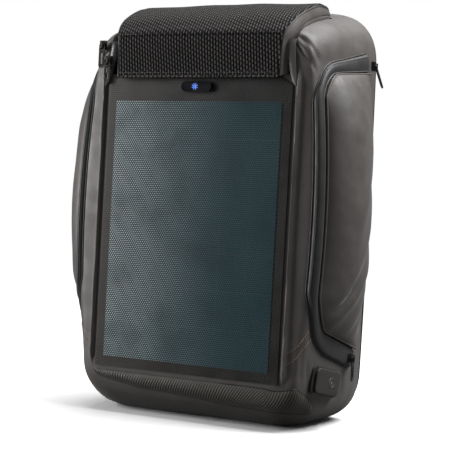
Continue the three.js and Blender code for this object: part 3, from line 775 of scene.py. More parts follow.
def ring(section, inset, counts=(46, 14, 84, 16)):
    """A closed cross-section: bottom, foot corner, side, shoulder, top, and the same again on the left."""
    y, half, bottom, top, corner, foot, bow = section
    half, bottom, top = half - inset, bottom + inset, top - inset
    flat, turn, rise, bend = (np.linspace(0, 1, count, endpoint=False)[:, None] for count in counts)

    def curve(t, *controls):
        a, b, c = np.array(controls, float)
        return a * (1 - t) ** 2 + 2 * b * t * (1 - t) + c * t ** 2

    def line(t, a, b):
        return np.array(a, float) * (1 - t) + np.array(b, float) * t

    low, high = bottom + foot, top - corner
    middle = (half + 2 * bow, (low + high) / 2)
    right = [curve(turn, (half - foot, bottom), (half, bottom), (half, low)),
             curve(rise, (half, low), middle, (half, high)),
             curve(bend, (half, high), (half, top), (half - corner, top))]
    left = [curve(bend, (half - corner, top), (half, top), (half, high)),
            curve(rise, (half, high), middle, (half, low)),
            curve(turn, (half, low), (half, bottom), (half - foot, bottom))]
    outline = np.concatenate([line(flat, (foot - half, bottom), (half - foot, bottom)), *right,
                              line(flat, (half - corner, top), (corner - half, top)),
                              *(part * (-1, 1) for part in left)])
    share = (y - BODY[0, 0]) / (BODY[-1, 0] - BODY[0, 0])
    depth = y + inset * math.cos(math.pi * share)
    return np.stack([outline[:, 0], np.full(len(outline), depth), outline[:, 1]], axis=1)


def body_grid(inset, stations):
    return np.stack([ring(section, inset) for section in smooth_rows(BODY, stations)])


def closed_form(name, grid, material):
    """A loose object: a grid of rings closed by a fan at each end, used as a solid to cut with."""
    rows, columns = grid.shape[:2]
    points = np.concatenate([grid.reshape(-1, 3), grid[:1].mean(axis=1), grid[-1:].mean(axis=1)])
    faces = grid_faces(rows, columns, around=True)
    first, last = rows * columns, rows * columns + 1
    faces += [(first, (j + 1) % columns, j) for j in range(columns)]
    base = (rows - 1) * columns
    faces += [(last, base + j, base + (j + 1) % columns) for j in range(columns)]
    return add_piece(name, points, faces, material)


def carve(base, *tools):
    """base with the tools cut out, as a new mesh. The tools and base are removed."""
    for tool in tools:
        cut = base.modifiers.new(tool.name, "BOOLEAN")
        cut.operation = "DIFFERENCE"
        cut.solver = "EXACT"
        cut.object = tool
        cut.material_mode = "TRANSFER"
    bpy.context.view_layer.update()
    depsgraph = bpy.context.evaluated_depsgraph_get()
    mesh = bpy.data.meshes.new_from_object(base.evaluated_get(depsgraph))
    for used in (base, *tools):
        bpy.data.objects.remove(used)
    return mesh


# ---- lid profile -----------------------------------------------------------------------------------
# Along the lid: outer edge (y, z), inner edge (y, z), half widths at both.
LID = np.array([
    (-7, 391, 14, 400, 102, 111),
    (-7, 415, 14, 416, 102.5, 111),
    (-6.5, 438, 15, 428, 104, 112),
    (2, 450, 21, 436, 108, 113),
    (12, 459, 29, 441.5, 110, 113),
    (34, 471, 44, 450, 112, 113),
    (60, 481, 64, 457.5, 113, 113),
    (85, 487, 84, 464.5, 113, 113),
    (100, 487.5, 98, 469.5, 113, 113),
    (109, 486.5, 109, 473, 112.5, 112.5),
], float)
ZIP_CHANNEL = 5
LID_WALL = 3
# The flange beside the flap, downward: height, inner and outer x, depth.
FLANGE = np.array([
    (434, 107, 117, 3.0), (427.4, 107.1, 116.2, 0.6), (415.4, 107.7, 117.3, 0), (403.3, 110.6, 118.3, 0),
    (392.4, 113.5, 119.4, 0), (385, 117.6, 120.2, -0.2), (381.5, 119.9, 120.7, -0.3),
], float)


def lid_profile(stations, outward_by=0.0, inward_by=0.0):
    """Outer and inner edge points (y, z) and half widths along the lid."""
    table = smooth_rows(LID, stations)
    outer, inner = table[:, :2], table[:, 2:4]
    way = (inner - outer) / np.linalg.norm(inner - outer, axis=1, keepdims=True)
    return outer - way * outward_by, inner + way * inward_by, table[:, 4], table[:, 5], way


def mouth_form(material):
    """The opening under the lid, with room beside it for the zip."""
    outer, inner, _, half, _ = lid_profile(np.linspace(0, 9, 46), 4, 16)
    reach = half + ZIP_CHANNEL
    outer[0, 1] -= 1
    inner[0, 1] -= 1
    outer[-1, 0] += 1
    inner[-1, 0] += 1
    rings = [[(-w, *i), (-w, *o), (w, *o), (w, *i)] for o, i, w in zip(outer, inner, reach)]
    return closed_form("mouth", np.array(rings), material)


# ---- pieces ----------------------------------------------------------------------------------------
def build_materials():
    return {
        "coated": coated_fabric("coated_charcoal", (0.062, 0.055, 0.051), 0.5),
        # The dark cloth is also painted shade on the left lid flange and on the pockets' rear folds.
        "coated_dark": coated_fabric("coated_dark", (0.012, 0.0115, 0.011), 0.38),
        # The ribbed textile's thread colour is partly painted highlight on the rib tops.
        "ribbed": ribbed_fabric("ribbed_textile", (0.0022, 0.0022, 0.0026), (0.085, 0.078, 0.074)),
        "strip": corded_fabric("corded_strip", (0.010, 0.009, 0.0075), (0.082, 0.071, 0.058)),
        "band": coated_fabric("zip_band", (0.007, 0.007, 0.0075), 0.5, 0.6),
        "piping": coated_fabric("piping_gloss", (0.07, 0.066, 0.064), 0.42, 0.5),
        "black_piping": coated_fabric("piping_black", (0.004, 0.004, 0.004), 0.4, 0.5),
        "webbing": woven_webbing("webbing_black", (0.018, 0.018, 0.02)),
        "mesh": spacer_mesh("spacer_mesh", (0.035, 0.035, 0.038)),
        "lining": plain_lining("lining_grey", (0.16, 0.165, 0.17)),
        "film": embossed_film("embossed_film"),
        "cell": cell_surface("solar_cell"),
        "bezel": moulded_plastic("panel_border", (0.0045, 0.004, 0.0035), 0.42),
        "plastic": moulded_plastic("plastic_black", (0.014, 0.014, 0.015)),
        "gloss": moulded_plastic("indicator_gloss", (0.003, 0.003, 0.004), 0.14, 0.2),
        "rubber": moulded_plastic("port_rubber", (0.032, 0.029, 0.027), 0.62, 1.6),
        "metal": plated_metal("zip_metal", (0.045, 0.043, 0.042), 0.26),
        "socket": plated_metal("socket_metal", (0.35, 0.35, 0.36), 0.35),
        "board": fibre_board("stiffener_board", (0.03, 0.03, 0.032)),
        "circuit": circuit_surface("circuit_board"),
        "tan": sewing_thread("thread_tan", (0.30, 0.19, 0.11)),
        "thread": sewing_thread("thread_grey", (0.05, 0.05, 0.052)),
        "glow": glowing("indicator_glow", (0.13, 0.30, 1.0), 1.5),
        "mark": moulded_plastic("icon_print", (0.075, 0.088, 0.092), 0.5),
        "contact": plated_metal("socket_contact", (0.6, 0.42, 0.16), 0.3),
    }


# Creases of the bag's skin beside the lid, on the right side: start, end, width and depth.
SHOULDER_CREASES = (
    ((121.5, 5.4, 434.8), (138.3, 14.3, 414), 2.6, 2.6),
    ((119.5, 3.2, 424), (136.1, 8.3, 404), 2.0, 1.7),
    ((124, 14, 444), (143, 26, 424), 3.4, 0.9),
)
# Pulls of the cloth over the lower corner: y and z at each end, and depth.
FOOT_PULLS = ((9, 92, 14, 62, 1.3), (16, 86, 24, 58, 1.1), (34, 70, 52, 56, 0.9))
FOOT_PULL_WIDTH = 3.4


def skin_heights(grid):
    """Wrinkles of the bag's skin: soft swells, the shoulder creases and the lower corner's pulls."""
    front = np.clip((grid[..., 1] - 4) / 12, 0, 1)
    heights = (softly(grid, 70, 1.0, 3.1) + softly(grid, 26, 0.25, 7.7)) * front
    for sign, size in ((1, 1.0), (-1, 0.8)):
        local = grid * (sign, 1, 1)
        for start, end, width, depth in SHOULDER_CREASES:
            heights = heights - size * crease(local, start, end, width, depth)
        for y0, z0, y1, z1, depth in FOOT_PULLS:
            start, end = (side_at(y0, z0), y0, z0), (side_at(y1, z1), y1, z1)
            heights = heights - size * crease(local, start, end, FOOT_PULL_WIDTH, depth)
    return heights


ROLL_X, ROLL_WIDTH, ROLL_DEPTH = 122.2, 1.9, 4.2
ROLL_BOTTOM, ROLL_TOP = 54, 402


def front_roll(grid):
    """How far the gusset's front edge rolls forward beside the panel."""
    across, z = np.abs(grid[..., 0]), grid[..., 2]
    beside = np.clip((z - ROLL_BOTTOM) / 14, 0, 1) * np.clip((ROLL_TOP - z) / 16, 0, 1)
    return ROLL_DEPTH * np.exp(-((across - ROLL_X) / ROLL_WIDTH) ** 2) * beside


def build_body(looks):
    stations = np.concatenate([np.linspace(0, 0.6, 14, endpoint=False),
                               np.linspace(0.6, 3, 24, endpoint=False), np.linspace(3, 9, 54)])
    grid = body_grid(0, stations)
    normals = grid_normals(grid, around=True)
    lean = np.sign(np.sum(normals * (grid - grid.mean(axis=(0, 1))), axis=2, keepdims=True))
    grid = grid + normals * lean * skin_heights(grid)[..., None]
    grid[..., 1] -= front_roll(grid)
    lip = body_grid(2.2, [0])
    lip[..., 1] = BODY[0, 0]
    outer = closed_form("outer", np.concatenate([lip, grid]), looks["coated"])
    inner = closed_form("inner", body_grid(WALL, np.linspace(0, 9, 28)), looks["lining"])
    mouth = mouth_form(looks["coated"])
    hole = add_piece("hole", *box_of((-22, -10.4, -6.9), (8, 10.4, 6.9), port_place()), looks["coated"])
    skin = finish_piece("body_skin", carve(outer, inner, mouth, hole), "bag", 50)
    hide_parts("body_shell")


def box_of(low, high, matrix):
    """Points and faces of a box between two corners, placed by a 4x4 matrix of bag millimetres."""
    (x0, y0, z0), (x1, y1, z1) = low, high
    points = [(x0, y0, z0), (x1, y0, z0), (x1, y1, z0), (x0, y1, z0),
              (x0, y0, z1), (x1, y0, z1), (x1, y1, z1), (x0, y1, z1)]
    faces = [(0, 3, 2, 1), (4, 5, 6, 7), (0, 1, 5, 4), (1, 2, 6, 5), (2, 3, 7, 6), (3, 0, 4, 7)]
    return placed(points, matrix), faces


def placed(points, matrix):
    return np.asarray(points, float) @ matrix[:3, :3].T + matrix[:3, 3]


# ---- lid -------------------------------------------------------------------------------------------
LID_STATIONS = np.linspace(0, 9, 150)
LID_ROLL = 3.2                                               # radius of the flap's side edges
LID_CROWN = 2.2
RIB_HEIGHT, RIB_LEAN = 0.55, 0.09
SEAM_STATION, HEM_STATION = 2.0, 0.16


def build_lid_cover(looks):
    """The ribbed flap: raised cords, a cross seam, a hem and side edges that roll under."""
    outer, _, half, _, way = lid_profile(LID_STATIONS)
    share = np.linspace(-1, 1, 560)
    width = half[:, None] * share[None]
    level = LID_STATIONS[:, None]
    crown = LID_CROWN * (1 - share ** 2)[None] * np.sin(np.clip(level / 9, 0, 1) * math.pi)
    edge = np.clip(np.abs(width) - (half[:, None] - LID_ROLL), 0, LID_ROLL)
    sink = LID_ROLL - np.sqrt(np.maximum(LID_ROLL ** 2 - edge ** 2, 0))
    lengths = lengths_along(outer)[:, None]
    across = width + RIB_LEAN * lengths
    ribs = 0.5 + 0.5 * np.cos(2 * math.pi * (across / RIB_PITCH - 0.5))
    seam = np.exp(-((level - SEAM_STATION) / 0.045) ** 2)
    hem = np.exp(-((level - HEM_STATION) / 0.03) ** 2)
    height = RIB_HEIGHT * ribs ** 0.7 * (1 - seam) * (1 - 0.7 * hem) - 1.1 * seam - 0.5 * hem + crown - sink
    height = height + softly(np.stack([width, width * 0 + lengths, width * 0], axis=2), 55, 1.5, 1.3)
    tangent = frames_along(outer)
    normal = np.stack([-tangent[:, 1], tangent[:, 0]], axis=1)
    normal = normal * np.sign(np.sum(normal * -way, axis=1, keepdims=True))
    upper = outer[:, None] + normal[:, None] * height[..., None]
    under = outer[:, None] - normal[:, None] * (LID_WALL - 0.4 + sink[..., None])
    cover = np.concatenate([width[..., None], upper], axis=2)
    lower = np.concatenate([width[..., None] * 0.985, under], axis=2)
    cloth = np.stack([across, np.broadcast_to(lengths, across.shape)], axis=2)
    piece = add_sheet("lid_cover", cover, lower, [looks["ribbed"], looks["lining"]], "lid", cloth,
                      slot="ribbed_fabric", crease=60)
    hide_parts("lid_shell")


def build_lid_side(side, sign, looks):
    """The coated side of the lid with its welts, and the zip between it and the bag."""
    outer, inner, outer_half, inner_half, way = lid_profile(LID_STATIONS)
    mirror = np.array((sign, 1, 1))

    def line(half, points):
        return np.column_stack([half, points])

    steps = np.linspace(0, 1, 14)
    start = line(outer_half - 1.2, outer + way)
    end = line(inner_half, inner)
    grid = start[:, None] * (1 - steps)[None, :, None] + end[:, None] * steps[None, :, None]
    puff = np.sin(steps * math.pi)[None] * np.clip(LID_STATIONS / 4, 0.25, 1)[:, None] * 2.4
    to_rear = np.clip((LID_STATIONS - 3) / 2, 0, 1)[:, None]
    fold = -1.3 * np.exp(-((steps - 0.62) / 0.05) ** 2)[None] * to_rear
    grid[..., 0] += puff + fold + softly(grid, 28, 0.8, 5.5)
    add_sheet(f"lid_side_{side}", grid * mirror, (grid - (2.2, 0, 0)) * mirror,
              [looks["coated"], looks["lining"]], "lid", slot="coated_fabric")
    hem = line(inner_half + 0.2, inner - way * 0.8)[24:]
    tube(f"lid_side_welt_{side}", hem * mirror, 1.5, looks["coated"], "lid", (1, 0, 0), slot="coated_fabric")
    edge = line(outer_half - 0.4, outer + way * 2.6)
    tube(f"lid_edge_welt_{side}", edge * mirror, 1.0, looks["black_piping"], "lid", (1, 0, 0),
         slot="coated_fabric")
    for body, offset in (("lid", 0.9), ("bag", 4.0)):
        path = line(inner_half + offset, inner + way * 0.6) * mirror
        sweep(f"main_zip_tape_{body}_{side}", path[:-4], (sign, 0, 0), rounded_section(3.4, 0.9, 4, 12),
              looks["band"], body, slot="zip_fabric")
    teeth = build_teeth(f"main_zip_teeth_{side}", line(inner_half + 2.5, inner)[:-4] * mirror, (sign, 0, 0),
                        looks["metal"])
    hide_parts(f"main_zip_chain_{side}")


def build_lid_stitches(looks):
    hem = np.stack([np.linspace(-100.5, 100.5, 60), np.full(60, -5.9), np.full(60, 391.4)], axis=1)
    tube("lid_hem", hem, 1.7, looks["ribbed"], "lid", (0, 1, 0), slot="ribbed_fabric")
    for name, station in (("lid_hem_stitches", 0.2), ("lid_seam_stitches", 2.14)):
        outer, _, half, _, _ = lid_profile([station])
        x = np.linspace(4 - half[0], half[0] - 4, 80)
        line = np.stack([x, np.full(80, outer[0, 0] - 0.55), np.full(80, outer[0, 1])], axis=1)
        stitch_line(name, line, (0, -1, 0), RIB_PITCH, 2.3, 0.32, looks["thread"], "lid")


def build_flange(side, sign, looks):
    """The narrow flange of the lid's side between the flap and the gusset, pointed at its lower end."""
    z, inner_x, outer_x, y = spline(FLANGE, 60).T
    share = np.linspace(0, 1, 9)
    inner = np.stack([inner_x, y, z], axis=1)
    outer = np.stack([outer_x, y, z], axis=1)
    grid = inner[:, None] * (1 - share)[None, :, None] + outer[:, None] * share[None, :, None]
    grid[..., 1] += 0.12 * (outer_x - inner_x)[:, None] * (2 * share - 1)[None] ** 2 - 0.5
    mirror = np.array((sign, 1, 1))
    # Painted shade: the left flange takes the dark cloth, the right one the lighter glossy piping cloth,
    # though they are the same part mirrored.
    cloth = looks["piping" if side == "right" else "coated_dark"]
    add_sheet(f"lid_flange_{side}", grid * mirror, (grid + (0, 1.1, 0)) * mirror, cloth, "lid",
              slot="coated_fabric")
    line = grid[38, 1:-1] + (0, -0.35, 0)
    stitch_line(f"lid_flange_stitches_{side}", line * mirror, (0, -1, 0), 1.9, 1.2, 0.25, looks["thread"],
                "lid")


TOOTH_PITCH = 1.6


def build_teeth(name, path, across, material):
    """A coil zip on the bag: one small tooth each side of the line in turn."""
    places = resample(path, int(lengths_along(path)[-1] / TOOTH_PITCH))
    across = np.asarray(across, float)
    parts = []
    for index, (place, tangent) in enumerate(zip(places, frames_along(places))):
        wide = across - tangent * (across @ tangent)
        wide = wide / np.linalg.norm(wide)
        offset = 0.45 if index % 2 else -0.45
        axes = (wide, tangent, np.cross(tangent, wide))
        parts.append(block(place + wide * offset, axes, (1.9, 1.0, 1.3)))
    return add_many(name, parts, material, "bag", slot="zip_metal")


# The hinge cloth from the bag's top to the lid's rear edge, as y and z.
HINGE_PROFILE = ((123, 480.6), (118, 480.9), (113.6, 482.3), (110.8, 484.4), (109.2, 486.6))
HINGE_HALF = 110.5


def build_hinge_fabric(looks):
    """Rippled cloth from the top of the bag to the rear edge of the lid."""
    rows, columns = 22, 90
    profile = spline(HINGE_PROFILE, rows)
    share = np.linspace(-1, 1, columns)
    ripple = 0.7 * np.sin(share * 41) * (1 - np.abs(share) ** 6)
    lift = np.sin(np.linspace(0, 1, rows) * math.pi)[:, None] * ripple[None]
    x = np.broadcast_to(share * HINGE_HALF, (rows, columns))
    grid = np.stack([x, profile[:, :1] + lift, profile[:, 1:] + 0 * lift], axis=2)
    made = add_sheet("lid_hinge_fabric", grid, grid - (0, 0.5, 1.7), looks["coated"], slot="coated_fabric")
    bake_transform(made)


def build_lid(looks):
    build_lid_cover(looks)
    for side, sign in SIDES:
        build_lid_side(side, sign, looks)
    build_lid_stitches(looks)
    for side, sign in SIDES:
        build_flange(side, sign, looks)
    paint(looks["board"], "lid_stiffener")
    build_hinge_fabric(looks)


# ---- panel, indicator and bottom strip -------------------------------------------------------------
def paint(material, *nodes):
    """Gives CAD nodes a finished material."""
    for node in nodes:
        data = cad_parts[node].data
        data.materials.clear()
        data.materials.append(material)


def soften(width, *nodes):
    """Rounds the sharp edges of CAD nodes with a modifier."""
    for node in nodes:
        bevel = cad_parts[node].modifiers.new("edges", "BEVEL")
        bevel.width = width * MM
        bevel.segments = 3
        bevel.limit_method = "ANGLE"
        bevel.angle_limit = math.radians(40)
        bevel.harden_normals = False


def build_panel(looks):
    paint(looks["film"], "panel_film")
    paint(looks["bezel"], "panel_backsheet")
    paint(looks["cell"], *[f"solar_cell_row_{number}" for number in range(1, 8)])
    apron = np.array([[(x, 5.2 + 0.8 * math.cos(x / 17), z) for x in np.linspace(-94, 94, 40)]
                      for z in np.linspace(372, 413.5, 12)])
    add_sheet("front_apron", apron, apron + (0, 1.4, 0), looks["lining"], "bag", slot="lining")


SUN_X = -1.6                                                 # the lit sun's place on the indicator
SUN_INNER, SUN_OUTER, SUN_RAY, SUN_THICKNESS = 0.95, 1.8, 3.05, 0.25


def build_indicator(looks):
    """The indicator's housing and window, with a plain lit sun: a ring and eight rays."""
    paint(looks["gloss"], "indicator_housing", "indicator_lens")
    paint(looks["circuit"], "indicator_board")
    soften(0.5, "indicator_housing")
    low, high = span("indicator_lens")
    y, z = low[1] - 0.12, (low[2] + high[2]) / 2
    angle = np.linspace(0, 2 * math.pi, 30)
    circle = np.stack([np.cos(angle), 0 * angle, np.sin(angle)], axis=1)
    disc = (SUN_X, y, z) + circle[:, None] * np.array((SUN_INNER, SUN_OUTER))[None, :, None]
    points = np.concatenate([disc.reshape(-1, 3), disc.reshape(-1, 3) + (0, SUN_THICKNESS, 0)])
    faces = grid_faces(30, 2) + [tuple(reversed(face)) for face in grid_faces(30, 2, first=60)]
    for k in (0, 1):
        faces += [(2 * i + k, 2 * i + 2 + k, 60 + 2 * i + 2 + k, 60 + 2 * i + k) for i in range(29)]
    parts = [(points, faces)]
    for turn in range(8):
        angle = turn * math.pi / 4 + math.pi / 8
        ray = np.array((math.cos(angle), 0, math.sin(angle)))
        middle = np.array((SUN_X, y + 0.12, z)) + ray * SUN_RAY
        parts.append(block(middle, (ray, (0, 1, 0), np.cross(ray, (0, 1, 0))), (1.4, SUN_THICKNESS, 0.8), 0.7))
    add_many("indicator_sun", parts, looks["glow"], "bag")


# The ribbed strip's upper and lower edge, from the left corner to its rounded end behind the right one:
# station, and place along the bag's lower edge, -1..0 round the left foot corner, 0..1 along the bottom and
# 1..2 on the right.
STRIP_EDGES = (
    (0.30, -0.45, 0.50, -0.40), (0.12, -0.05, 0.73, 0.0), (0.08, 0.2, 1.2, 0.2), (0.08, 0.45, 1.45, 0.45),
    (0.08, 0.69, 1.83, 0.69), (0.08, 0.85, 2.0, 0.82), (0.15, 1.05, 2.08, 0.97), (0.45, 1.38, 2.35, 1.2),
    (0.95, 1.64, 2.75, 1.36), (1.9, 1.80, 3.25, 1.48), (2.7, 1.83, 3.7, 1.545), (3.4, 1.80, 4.0, 1.59),
    (3.95, 1.735, 4.15, 1.65),
)
STRIP_ROWS, STRIP_COLUMNS = 620, 26
STRIP_SWELL, CORD_HEIGHT = 2.6, 0.45


def foot_surface(station, place):
    """Points of the bag's lower edge at fractional stations and places along it."""
    y, half, bottom, _, _, foot, _ = smooth_rows(BODY, station.ravel()).T
    along = place.ravel()
    turn = np.clip(np.abs(along - 0.5) - 0.5, 0, 1)
    flat = (half - foot) * np.clip(2 * along - 1, -1, 1)
    x = flat + np.sign(along - 0.5) * foot * (2 * turn - turn ** 2)
    return np.stack([x, y, bottom + foot * turn ** 2], axis=1).reshape(*station.shape, 3)


def evened(grid):
    """The grid's rows shifted along it so that its middle line is evenly divided."""
    rows, columns = grid.shape[:2]
    lengths = lengths_along(grid[:, columns // 2])
    order = np.interp(np.linspace(0, lengths[-1], rows), lengths, np.arange(rows))
    flat = grid.reshape(rows, -1)
    moved = [np.interp(order, np.arange(rows), flat[:, k]) for k in range(flat.shape[1])]
    return np.stack(moved, axis=1).reshape(grid.shape), lengths[-1]


def build_bottom_strip(looks):
    edges = spline(STRIP_EDGES, STRIP_ROWS)
    share = np.linspace(0, 1, STRIP_COLUMNS)[None, :]
    station = edges[:, :1] * (1 - share) + edges[:, 2:3] * share
    place = edges[:, 1:2] * (1 - share) + edges[:, 3:] * share
    base, length = evened(foot_surface(station, place))
    normal = grid_normals(base)
    normal = normal * np.where(np.sum(normal * (0.3, -1, -1), axis=2, keepdims=True) > 0, 1, -1)
    steps = np.cumsum(np.linalg.norm(np.diff(base, axis=1), axis=2), axis=1)
    across = np.concatenate([np.zeros((STRIP_ROWS, 1)), steps], axis=1)
    along = np.broadcast_to(np.linspace(0, length, STRIP_ROWS)[:, None], across.shape)
    cords = 0.5 + 0.5 * np.cos(2 * math.pi * (along + CORD_SLANT * across) / CORD_PITCH)
    edge = np.sin(math.pi * share) ** 0.6
    ends = np.clip(np.minimum(along, length - along) / 6, 0, 1) ** 0.6
    swell = (0.5 + np.minimum(across[:, -1:] / 16, 1) * STRIP_SWELL * edge + CORD_HEIGHT * cords * edge) * ends
    raised = base + normal * swell[..., None]
    made = add_sheet("bottom_strip", raised, base - normal * 0.8, looks["strip"], "bag",
                     np.stack([along, across], axis=2), slot="ribbed_fabric", crease=60)
    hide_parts("bottom_edge_strip")
    rim = np.concatenate([raised[:, -1], raised[::-1, 0][:260]])
    tube("bottom_strip_seam", resample(rim, 300) - (0, 0, 0.2), 0.8, looks["black_piping"], "bag", (0, 1, 0),
         slot="coated_fabric")


# ---- side pockets ----------------------------------------------------------------------------------
POCKET_FRONT, POCKET_REAR = 17, 118
POCKET_SKIN = 3
POCKET_LIFT = 2.6
BULGE = 27
# Folds of the pocket's cloth: y and z at each end, width and depth.
POCKET_FOLDS = (
    (108, 232, 42, 150, 7, 2.4), (112, 196, 54, 126, 6, 2.0), (104, 300, 70, 236, 8, 1.3),
    (60, 168, 30, 132, 5, 1.5), (96, 382, 106, 340, 6, 1.4), (110, 150, 76, 104, 6, 1.4),
)
# The zip band's width at its front, and how much wider it grows towards its upper and lower end.
BAND_WIDTH, BAND_TOP_GROWTH, BAND_BOTTOM_GROWTH = 10, 12, 13
# The band's cross-section: share of its width, and height over the bag's side.
BAND_SECTION = ((0.0, -1.4), (0.07, -0.6), (0.14, 0.8), (0.22, 1.7), (0.34, 2.2), (0.5, 2.4), (0.66, 2.2),
                (0.8, 1.7), (0.9, 0.8), (0.96, -0.4), (1.0, -2.0))
# Lines along the band: name, share of its width, height, radius and material.
BAND_LINES = (("piping", 0.12, 0.9, 0.75, "piping"), ("edge", 0.88, 1.2, 0.5, "band"),
              ("seam", 1.05, -2.3, 0.9, "black_piping"))


def pocket_edge(u, top):
    """Height of the pocket's upper or lower edge at share u of its depth."""
    rounded = (1 - np.minimum(1, u / 0.24)) ** 2
    return 396 + 14 * u - 24 * rounded if top else 120 - 30 * u + 34 * rounded


def pocket_points(u, v, sunk=0.0):
    """Points of the bulged pocket at shares u of its depth and v of its height."""
    y = POCKET_FRONT + (POCKET_REAR - POCKET_FRONT) * u
    low, high = pocket_edge(u, False), pocket_edge(u, True)
    z = low + (high - low) * v
    deep = np.sin(0.96 * math.pi * u ** 0.72) ** 0.8
    tall = (1 - np.abs(2 * v - 1) ** 3) ** 0.6
    x = side_at(y, z) + POCKET_LIFT + POCKET_SKIN + BULGE * deep * tall - sunk
    return np.stack([x, y, z], axis=-1)


def band_line(count=60):
    """(y, z), band width and the way out of the pocket, from the top rear end round the front."""
    share = np.linspace(0, 1, count)
    y = POCKET_FRONT + (POCKET_REAR - POCKET_FRONT) * share
    growth = BAND_BOTTOM_GROWTH * np.minimum(1, share / 0.35)
    top = np.stack([y, pocket_edge(share, True), BAND_WIDTH + BAND_TOP_GROWTH * share], axis=1)[::-1]
    bottom = np.stack([y, pocket_edge(share, False), BAND_WIDTH + growth], axis=1)
    height = np.linspace(top[-1, 1], bottom[0, 1], count)
    side = np.stack([np.full(count, POCKET_FRONT), height, np.full(count, BAND_WIDTH)], axis=1)
    line = resample(np.concatenate([top, side[1:-1], bottom]), 300)
    line = rounded_off(line, 12, 5.0)
    ahead = frames_along(line[:, :2])
    away = np.stack([ahead[:, 1], -ahead[:, 0]], axis=1)
    return line[:, :2], line[:, 2], away


def rounded_off(line, reach, spread):
    """A line of evenly spaced rows with its corners smoothed, and its ends kept."""
    padded = np.concatenate([2 * line[:1] - line[reach:0:-1], line, 2 * line[-1:] - line[-2:-reach - 2:-1]])
    kernel = np.exp(-(np.arange(-reach, reach + 1) / spread) ** 2)
    kernel = kernel / kernel.sum()
    return np.stack([np.convolve(padded[:, axis], kernel, "valid") for axis in range(line.shape[1])], axis=1)


def band_grid(reaches, lifts):
    """Points of the band at shares of its width, each lifted off the bag's side."""
    line, width, away = band_line()
    columns = []
    for reach, lift in zip(reaches, lifts):
        at = line + away * (0.6 + width * reach)[:, None]
        columns.append(off_side(at[:, 0], at[:, 1], POCKET_LIFT + lift))
    return np.stack(columns, axis=1)


def pocket_folds(grid):
    heights = softly(grid, 52, 1.3, 9.4) + softly(grid, 18, 0.3, 2.2)
    flat = grid * (0, 1, 1)
    for y0, z0, y1, z1, width, depth in POCKET_FOLDS:
        heights = heights - crease(flat, (0, y0, z0), (0, y1, z1), width, depth)
    return heights


def pocket_cover():
    """Outer and inner points of the pocket's cloth."""
    u = np.linspace(0, 1, 64)[:, None] ** 1.15
    v = 0.5 - 0.5 * np.cos(math.pi * np.linspace(0, 1, 120)[None])
    u, v = np.broadcast_arrays(u, v)
    grid = pocket_points(u, v)
    margin = np.minimum(np.minimum(u, 1 - u) * 9, np.minimum(v, 1 - v) * 16).clip(0, 1)
    normal = grid_normals(grid)
    normal = normal * np.sign(normal[..., :1])
    grid = grid + normal * (pocket_folds(grid) * margin)[..., None]
    return grid, pocket_points(u, v, POCKET_SKIN - 0.4)


def build_pocket(side, sign, looks):
    mirror = np.array((sign, 1, 1))
    body = f"pocket_{side}"
    grid, inner = pocket_cover()
    made = add_sheet(f"pocket_cover_{side}", grid * mirror, inner * mirror, [looks["coated"], looks["lining"]],
                     body, slot="coated_fabric")
    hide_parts(f"pocket_panel_{side}")
    border = np.concatenate([grid[::-1, -1], grid[0, ::-1][1:-1], grid[:, 0]])
    welt = (resample(border, 200) + (0.2, -0.2, 0)) * mirror
    tube(f"pocket_welt_{side}", welt, 1.3, looks["coated"], body, (1, 0, 0), slot="coated_fabric")

    reaches, lifts = np.array(BAND_SECTION).T
    back = band_grid(reaches, [-2.4] * len(reaches))
    made = add_sheet(f"pocket_band_{side}", band_grid(reaches, lifts) * mirror, back * mirror, looks["band"],
                     "bag", slot="zip_fabric")
    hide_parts(f"pocket_zip_band_{side}")
    for part, reach, lift, radius, look in BAND_LINES:
        line = band_grid((reach,), (lift,))[:, 0] * mirror
        tube(f"pocket_band_{part}_{side}", line, radius, looks[look], "bag", (1, 0, 0), slot="coated_fabric")
    zip_line = band_grid((0.03,), (-0.9,))[:, 0] * mirror
    build_teeth(f"pocket_zip_teeth_{side}", zip_line, (0, 0.7, 0.7), looks["black_piping"])
    build_pocket_fold(side, sign, grid[-1], looks)


def build_pocket_fold(side, sign, rear, looks):
    """Cloth from the bag to the pocket's rear edge, where the pocket folds, in the dark cloth as painted
    shade.
    """
    mirror = np.array((sign, 1, 1))
    on_bag = [off_side(y, rear[:, 2], lift) for y, lift in ((123.5, 0.6), (122, 2.2), (120.2, 4.4))]
    rows = np.stack([*on_bag, rear + (-0.6, 0.4, 0)], axis=1)
    fold = np.stack([spline(line, 9) for line in rows])
    # Painted shade: the fold takes the dark cloth.
    made = add_sheet(f"pocket_fold_fabric_{side}", fold * mirror, (fold - (1.4, 0, 0)) * mirror,
                     looks["coated_dark"], slot="coated_fabric")
    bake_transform(made)


def build_sliders(looks):
    nodes = [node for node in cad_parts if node.endswith(("_slider", "_pull"))]
    paint(looks["metal"], *nodes)
    soften(0.3, *nodes)


# ---- charging port ---------------------------------------------------------------------------------
PORT_DEPTH, PORT_HEIGHT, PORT_TURN, PORT_TILT = 54, 56, -0.2, -0.19
ICON_Y, ICON_Z, ICON_RADIUS = 6, 0.5, 5.2


def port_place():
    """The port's own frame: x outward, y to the rear, z up."""
    place = np.array(Matrix.Rotation(PORT_TURN, 4, "Z") @ Matrix.Rotation(PORT_TILT, 4, "X"))
    place[:3, 3] = (side_at(PORT_DEPTH, PORT_HEIGHT) + 1.4, PORT_DEPTH, PORT_HEIGHT)
    return place


